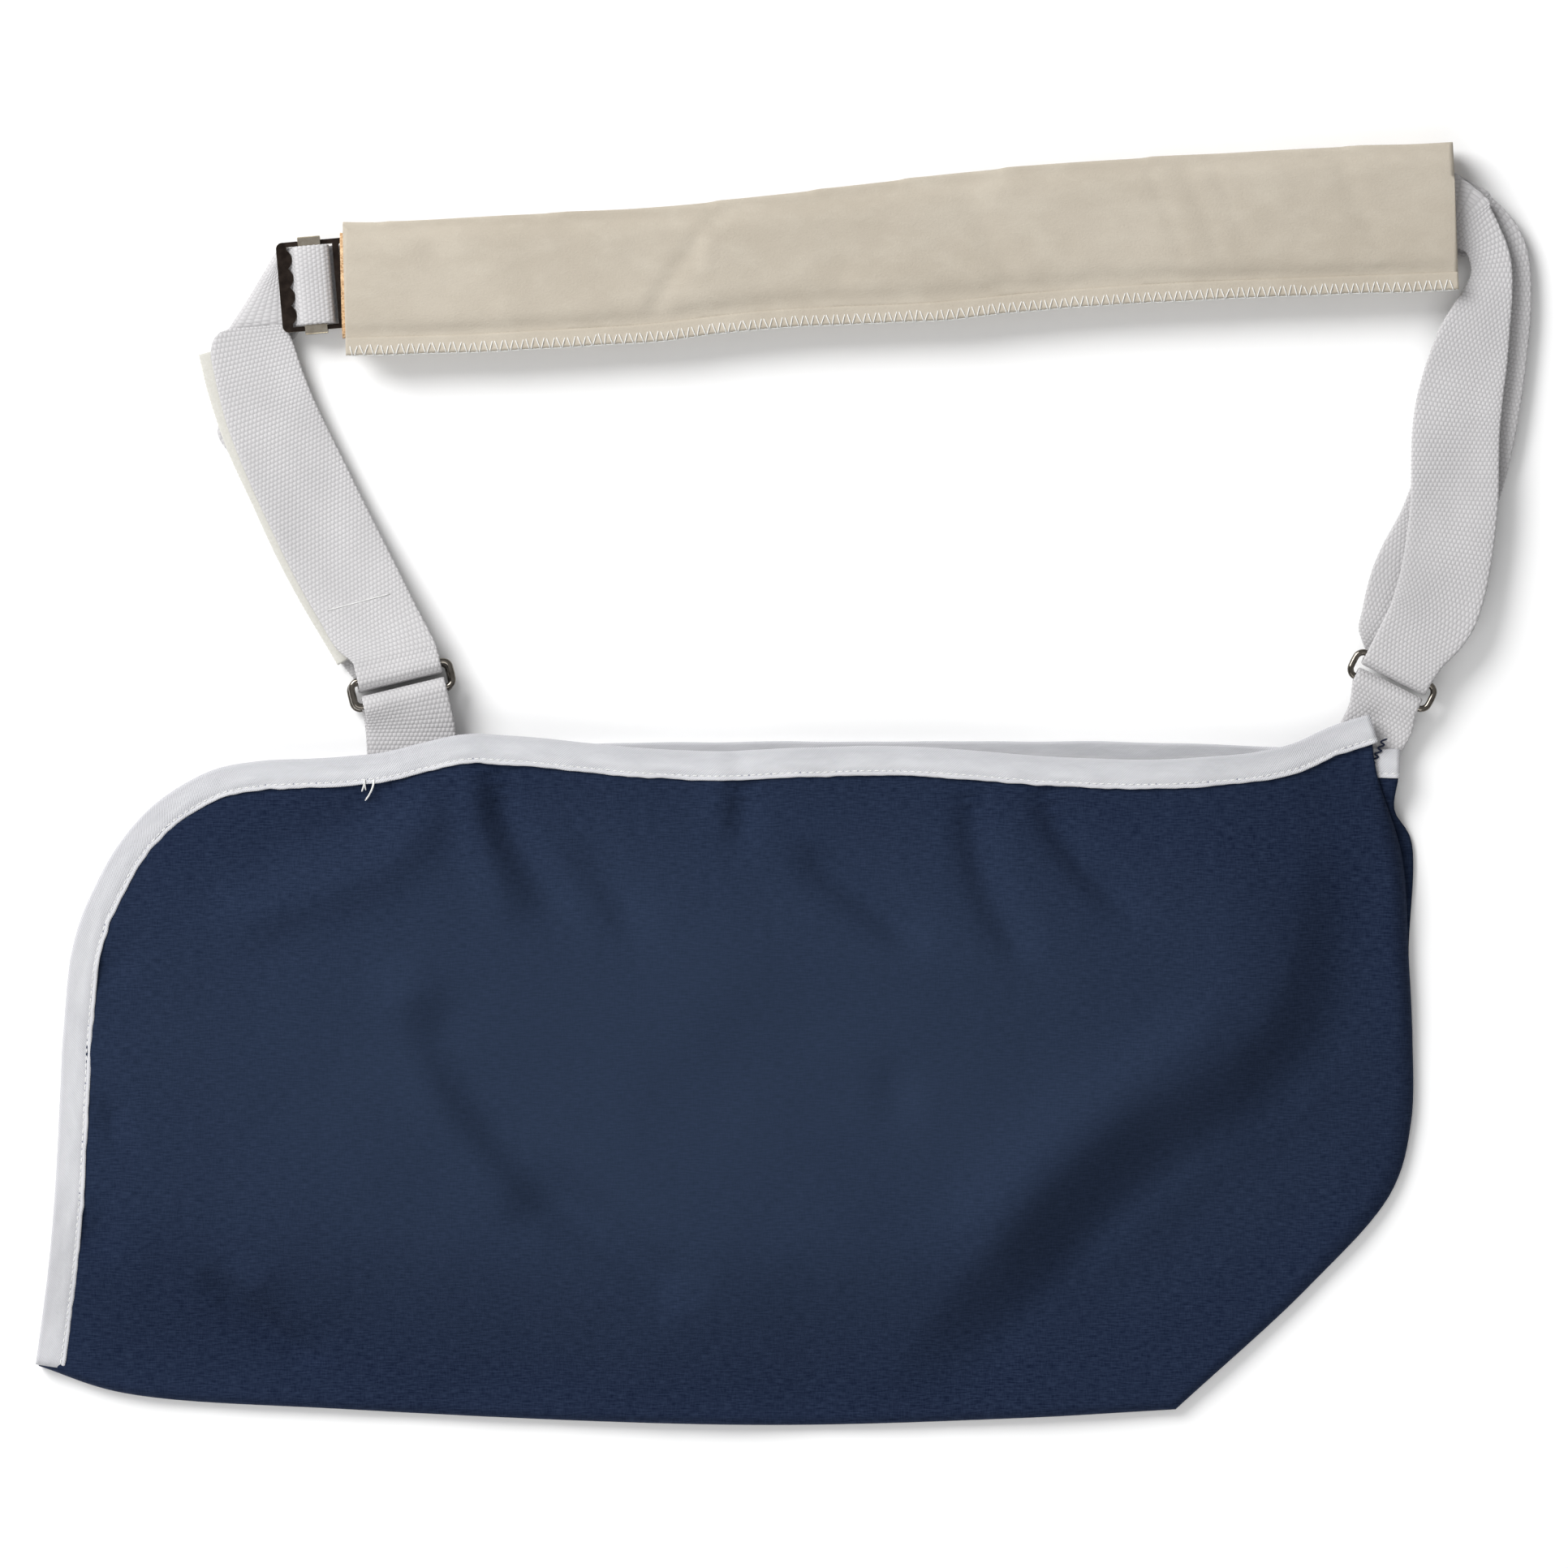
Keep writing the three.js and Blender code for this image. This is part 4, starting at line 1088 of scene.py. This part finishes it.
# Where the stuffed pad is fuller than the CAD's: share of its length, spread, then how much further it
# reaches below and above.
PAD_SWELLS = [
    (0.14, 0.11, 0.0, 2.0 * MM),
    (0.27, 0.07, 1.1 * MM, 0.0),
    (0.52, 0.07, 0.9 * MM, 0.0),
    (0.90, 0.08, 0.0, 0.8 * MM),
]

# Each pad crease: two ends as (share of the length, share of the width), half width and height.
PAD_CREASES = [
    ((0.335, 0.86), (0.275, 0.18), 2.6 * MM, -0.495 * MM),
    ((0.335, 0.86), (0.445, 0.30), 2.6 * MM, -0.495 * MM),
    ((0.33, 0.95), (0.325, 0.45), 2.2 * MM, 0.275 * MM),
    ((0.26, 0.60), (0.30, 0.30), 3.0 * MM, -0.275 * MM),
    ((0.725, 0.95), (0.755, 0.25), 1.8 * MM, -0.2475 * MM),
    ((0.755, 0.95), (0.785, 0.30), 1.8 * MM, -0.22 * MM),
    ((0.785, 0.90), (0.81, 0.35), 1.6 * MM, -0.1925 * MM),
    ((0.08, 0.75), (0.13, 0.30), 3.0 * MM, -0.22 * MM),
    ((0.56, 0.80), (0.60, 0.15), 3.4 * MM, -0.275 * MM),
    ((0.90, 0.85), (0.93, 0.25), 2.6 * MM, -0.275 * MM),
]


def pad_sections(spacing):
    """The pad's sections, filled in about every spacing: lower edge, direction up it and width."""
    rows = catmull_rom([[*low, *upward, width] for low, upward, width in PAD_ROWS], spacing)
    lows, upwards, widths = rows[:, :3], unit(rows[:, 3:6]), rows[:, 6]
    share = np.linspace(0, 1, len(rows))
    for place, spread, below, above in PAD_SWELLS:
        swell = np.exp(-((share - place) / spread) ** 2)
        lows = lows - upwards * (below * swell)[:, None]
        widths = widths + (below + above) * swell
    return lows, upwards, widths


def pad_loop(low, upward, width, inset, power, wider=0.0):
    """Points round one section of the pad, which thins out towards the seam along its lower edge."""
    a = np.linspace(0, 2 * math.pi, PAD_SIDES, endpoint=False)
    x = np.sign(np.cos(a)) * np.abs(np.cos(a)) ** power * (width / 2 - inset + wider)
    z = np.sign(np.sin(a)) * np.abs(np.sin(a)) ** power * (PAD_THICK / 2 - inset)
    thinned = SEAM_SHARE + (1 - SEAM_SHARE) * smooth_step(x + width / 2, -1 * MM, 6 * MM)
    z = SEAM_RISE + (z - SEAM_RISE) * thinned
    middle = low + upward * width / 2
    middle[2] = PAD_MIDDLE_Z
    return middle + upward * x[:, None] + UP * z[:, None]


def make_pad_cover():
    """The velour cover: a closed bag, blown up a little, cut open at both ends and creased."""
    overrun = 9 * MM  # the bag's closed ends lie this far past the pad's
    shrink, wider, power = 0.9 * MM, 1.7 * MM, 0.32
    lows, upwards, widths = pad_sections(6 * MM)
    first, last = unit(lows[0] - lows[1]), unit(lows[-1] - lows[-2])
    lows = np.vstack([lows[0] + first * overrun, lows, lows[-1] + last * overrun])
    upwards = np.vstack([upwards[0], upwards, upwards[-1]])
    widths = np.concatenate([widths[:1], widths, widths[-1:]])
    points = np.vstack([pad_loop(*row, shrink, power, wider) for row in zip(lows, upwards, widths)])
    piece = add_mesh("pad_velour", points, loft_faces(len(lows), PAD_SIDES), None, VELOUR)
    modify(piece, "REMESH", mode="VOXEL", voxel_size=3.2 * MM)
    apply_modifiers(piece)
    inflate(piece)
    modify(piece, "SUBSURF", levels=1, render_levels=1)
    apply_modifiers(piece)
    piece.data.polygons.foreach_set("use_smooth", [True] * len(piece.data.polygons))
    trim_pad_ends(piece)
    crease_pad(piece)
    modify(piece, "SOLIDIFY", thickness=COVER_THICK, offset=-1)
    apply_modifiers(piece)
    settle(piece, "cream_velour", "neck_pad", "pad_cover")


def apply_modifiers(piece):
    """Makes the modified mesh the piece's own."""
    graph = bpy.context.evaluated_depsgraph_get()
    mesh = bpy.data.meshes.new_from_object(piece.evaluated_get(graph))
    piece.modifiers.clear()
    piece.data = mesh


def mesh_points(mesh):
    places = np.zeros(len(mesh.vertices) * 3, np.float32)
    mesh.vertices.foreach_get("co", places)
    return places.reshape(-1, 3).astype(float)


def set_mesh_points(mesh, places):
    mesh.vertices.foreach_set("co", places.astype(np.float32).ravel())


def inflate(piece):
    """Blows the closed cover up with a cloth simulation, and keeps the shape, up to a limit."""
    limit = 1.3 * MM
    last_step = 20
    start = mesh_points(piece.data)
    cloth = piece.modifiers.new("cloth", "CLOTH")
    settings = cloth.settings
    settings.quality = 6
    settings.mass = 0.2
    settings.use_pressure = True
    settings.uniform_pressure_force = 4
    settings.effector_weights.gravity = 0
    cloth.point_cache.frame_start = 1
    cloth.point_cache.frame_end = last_step
    for step in range(1, last_step + 1):
        bpy.context.scene.frame_set(step)
    apply_modifiers(piece)
    bpy.context.scene.frame_set(1)
    moved = mesh_points(piece.data) - start
    length = np.linalg.norm(moved, axis=1)
    scale = np.where(length > limit, limit / np.maximum(length, 1e-9), 1.0)
    set_mesh_points(piece.data, start + moved * scale[:, None])


def trim_pad_ends(piece):
    """Cuts the closed cover open square at both ends."""
    mesh = bmesh.new()
    mesh.from_mesh(piece.data)
    for end, beside in ((0, 1), (-1, -2)):
        low = PAD_ROWS[end][0]
        outward = unit(low - PAD_ROWS[beside][0])
        geometry = mesh.verts[:] + mesh.edges[:] + mesh.faces[:]
        bmesh.ops.bisect_plane(mesh, geom=geometry, plane_co=low, plane_no=outward, clear_outer=True)
    mesh.to_mesh(piece.data)
    mesh.free()


def pad_place(run, rise):
    """A place on the middle plane of the pad, from shares of its length and width."""
    spot = run * (len(PAD_ROWS) - 1)
    i = min(int(spot), len(PAD_ROWS) - 2)
    ends = [low + upward * width * rise for low, upward, width in PAD_ROWS[i:i + 2]]
    return ends[0] + (ends[1] - ends[0]) * (spot - i)


def crease_pad(piece):
    """Soft creases across the velour, on both faces, with a fine unevenness."""
    places = mesh_points(piece.data)
    facing = np.sign(places[:, 2] - PAD_MIDDLE_Z)
    flatness = smooth_step(np.abs(places[:, 2] - PAD_MIDDLE_Z), PAD_THICK * 0.25, PAD_THICK * 0.42)
    lift = ripple(places, 45, 11) * 0.35 * MM + ripple(places, 130, 12) * 0.12 * MM
    for start, end, width, height in PAD_CREASES:
        line = np.array([pad_place(*start), pad_place(*end)])
        lift += height * np.exp(-(distance_to(places, line) / width) ** 2)
    places[:, 2] += facing * flatness * lift
    hold_up_brim(places)
    set_mesh_points(piece.data, places)


def hold_up_brim(places):
    """Keeps the upper face from sinking towards its edges, where the cover is stretched over the foam."""
    lows, upwards, widths = pad_sections(4 * MM)
    edges = [lows, lows + upwards * widths[:, None]]
    from_edge = np.min([distance_to(places, edge) for edge in edges], axis=0)
    brim = PAD_HIGH.z - 1.2 * MM + 0.25 * MM * smooth_step(from_edge, 0, 8 * MM)
    raised = smooth_step(places[:, 2] - PAD_MIDDLE_Z, 0.5 * MM, 3.5 * MM)
    places[:, 2] += raised * np.maximum(brim - places[:, 2], 0)


def make_pad_foam():
    """The foam wrap inside the cover, which shows at the ends. It is a thick tube round the straps."""
    lows, upwards, widths = pad_sections(6 * MM)
    lows[0] += unit(lows[0] - lows[1]) * 1.0 * MM
    lows[-1] -= unit(lows[-1] - lows[-2]) * 1.2 * MM
    run = along(lows)
    from_end = np.minimum(run, run[-1] - run)
    at_end = (PAD_HIGH.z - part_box("pad_foam")[1].z) + 0.7 * MM
    inset = at_end + 0.9 * MM * smooth_step(from_end, 2 * MM, 8 * MM)
    frames = list(zip(lows, upwards, widths))
    outer = [pad_loop(*row, into, 0.5, -0.9 * MM) for row, into in zip(frames, inset)]
    inner = [pad_loop(*row, at_end + FOAM_WALL, 0.25) for row in frames]
    rows, hollow_start = len(lows), len(lows) * PAD_SIDES
    skin = loft_faces(rows, PAD_SIDES)[:-2]
    hollow = [face[::-1] for face in loft_faces(rows, PAD_SIDES, hollow_start)[:-2]]
    rims = []
    for first, order in ((0, -1), ((rows - 1) * PAD_SIDES, 1)):
        for k in range(PAD_SIDES):
            a, b = first + k, first + (k + 1) % PAD_SIDES
            rims.append((a, b, b + hollow_start, a + hollow_start)[::order])
    piece = add_mesh("pad_foam_wrap", np.vstack(outer + inner), skin + hollow + rims, None, FOAM)
    settle(piece, "tan_foam", "neck_pad", "pad_foam")


def make_pad_seam():
    """The pad's lower edge: a narrow flange of two layers, wrapped in slanting overlock thread."""
    lows, upwards, _ = pad_sections(3 * MM)
    root, reach = 2.6 * MM, 2.6 * MM  # into the cover, and out of it
    rows = []
    for low, upward, at in zip(lows, upwards, along(lows)):
        drop = reach * (1 + 0.12 * waver(at, 60, 3, 1))
        middle = low + upward * (root - drop) / 2
        middle[2] = PAD_MIDDLE_Z + SEAM_RISE + 0.7 * MM + 0.15 * MM * waver(at, 50, 7, 2)
        rows.append((middle, upward * (root + drop) / 2 - UP * 0.1 * MM))
    flange = make_ribbon("pad_flange", rows, VELOUR, thickness=1.3 * MM)
    settle(flange, "white_thread", "neck_pad", "pad_overlock")
    edge = np.array([middle - across for middle, across in rows])
    inwards = np.array([unit(across) for middle, across in rows])
    threads = make_threads("pad_overlock_threads", overlock_loops(edge, inwards), 0.15 * MM, WHITE_THREAD)
    settle(threads, "white_thread", "neck_pad")


def overlock_loops(edge, inwards):
    """Loops of thread over an edge, which lean to and fro, and one thread along it."""
    pitch, width = 1.5 * MM, 3.4 * MM
    proud = 0.15 * MM  # the loops pass this far outside the edge
    both = np.hstack([edge, inwards])
    run = along(edge)
    loops = []
    for i, start in enumerate(np.arange(pitch, run[-1] - pitch, pitch)):
        lean = (-1) ** i * 0.55 * MM * (1 + 0.7 * waver(start, 300, 5, 8))
        across = width * (1 + 0.25 * waver(start, 210, 2, 4))
        loop = []
        for a in np.linspace(0, 2 * math.pi, 13):
            here = np.array([np.interp(start + lean * math.cos(a), run, column) for column in both.T])
            inward = (1 - math.cos(a)) / 2 * across - proud
            loop.append(here[:3] + here[3:] * inward + UP * math.sin(a) * 0.85 * MM)
        loops.append(np.array(loop))
    return loops + [edge - inwards * proud]


# ---- Small details ----

# Each loose thread: where it starts beside the others, how far it leans and how far it drops, in mm.
THREAD_TAILS = [(-2.2, -0.9, 3.6), (-2.2, 0.3, 3.2), (0.4, -2.5, 6.2), (0.55, -2.2, 5.6)]


def make_thread_tails():
    """Loose ends of white thread below the mouth's binding, by the left tabs."""
    root = centre_of("tab_left_front_sewn_end").x - 11.2 * MM
    down = np.linspace(0, 1, 12)
    lines = []
    for shift, lean, drop in THREAD_TAILS:
        line = np.zeros((12, 3))
        line[:, 0] = root + (shift + lean * down ** 2) * MM
        line[:, 1] = 1.4 * MM - down * drop * MM
        line[:, 2] = front_surface(line) + (1.4 - 0.7 * down + 0.5 * np.sin(down * math.pi)) * MM
        lines.append(line)
    piece = make_threads("thread_tails", lines, 0.24 * MM, WHITE_THREAD)
    settle(piece, "white_thread", "pouch")


def finish_seams():
    """The turned-in seam allowances stay as the CAD has them, in cloth."""
    for name in ("elbow_seam", "dart_seam"):
        node = frame["nodes"][name]
        set_finish(node, CLOTH)
        modify(node, "BEVEL", width=0.3 * MM, segments=2)


make_layer("front", FRONT, front_surface, 190, 116, seed=1)
make_layer("back", BACK, back_surface, 120, 76, seed=2)
make_rings()
for place in PLACES:
    make_tab(place)
    make_bartack(place)
make_shoulder_webbing()
make_left_webbing()
make_bar_webbing()
make_patch("loop_patch", "harness", longer=8 * MM)
make_patch("hook_patch", "closure", longer=0)
make_buckle_part("buckle_frame", DARK_NICKEL, 0.3 * MM)
make_buckle_part("buckle_bar", BRIGHT_NICKEL, 0.25 * MM)
make_pad_cover()
make_pad_foam()
make_pad_seam()
make_thread_tails()
finish_seams()


# ---- Floor, light and camera ----


def add_floor():
    reach, depth = 3.0, -0.4 * MM
    corners = [(-reach, -reach, depth), (reach, -reach, depth), (reach, reach, depth), (-reach, reach, depth)]
    add_mesh("floor", corners, [(0, 1, 2, 3)], None, white_floor())


def add_light(name, place, size, power):
    light = bpy.data.lights.new(name, "AREA")
    light.shape = "DISK"
    light.size = size
    light.energy = power
    lamp = add_object(name, light)
    lamp.location = place
    lamp.rotation_euler = Vector(place).to_track_quat("Z", "Y").to_euler()


def add_world():
    """White overhead and dimmer towards the horizon, so that polished metal has something dark to show."""
    world = bpy.data.worlds.new("studio")
    world.use_nodes = True
    nodes, links = world.node_tree.nodes, world.node_tree.links
    height = nodes.new("ShaderNodeSeparateXYZ")
    links.new(nodes.new("ShaderNodeTexCoord").outputs["Generated"], height.inputs[0])
    fade = nodes.new("ShaderNodeMapRange")
    links.new(height.outputs[2], fade.inputs["Value"])
    for slot, value in (("From Min", 0.05), ("From Max", 0.75), ("To Min", 0.05), ("To Max", 0.44)):
        fade.inputs[slot].default_value = value
    links.new(fade.outputs[0], nodes["Background"].inputs[1])
    nodes["Background"].inputs[0].default_value = (1, 1, 1, 1)
    bpy.context.scene.world = world


def add_camera():
    camera = bpy.data.cameras.new("camera")
    camera.lens = 200
    camera.clip_end = 20
    view = add_object("camera", camera)
    view.location = (0, 0, IMAGE_WIDTH * camera.lens / camera.sensor_width)
    bpy.context.scene.camera = view


add_floor()
add_world()
add_light("key", (-1.45, 1.45, 1.6), 1.7, 77)
add_light("fill", (-0.6, -1.6, 1.7), 2.6, 26)
add_camera()
bpy.context.scene.view_settings.view_transform = "Standard"
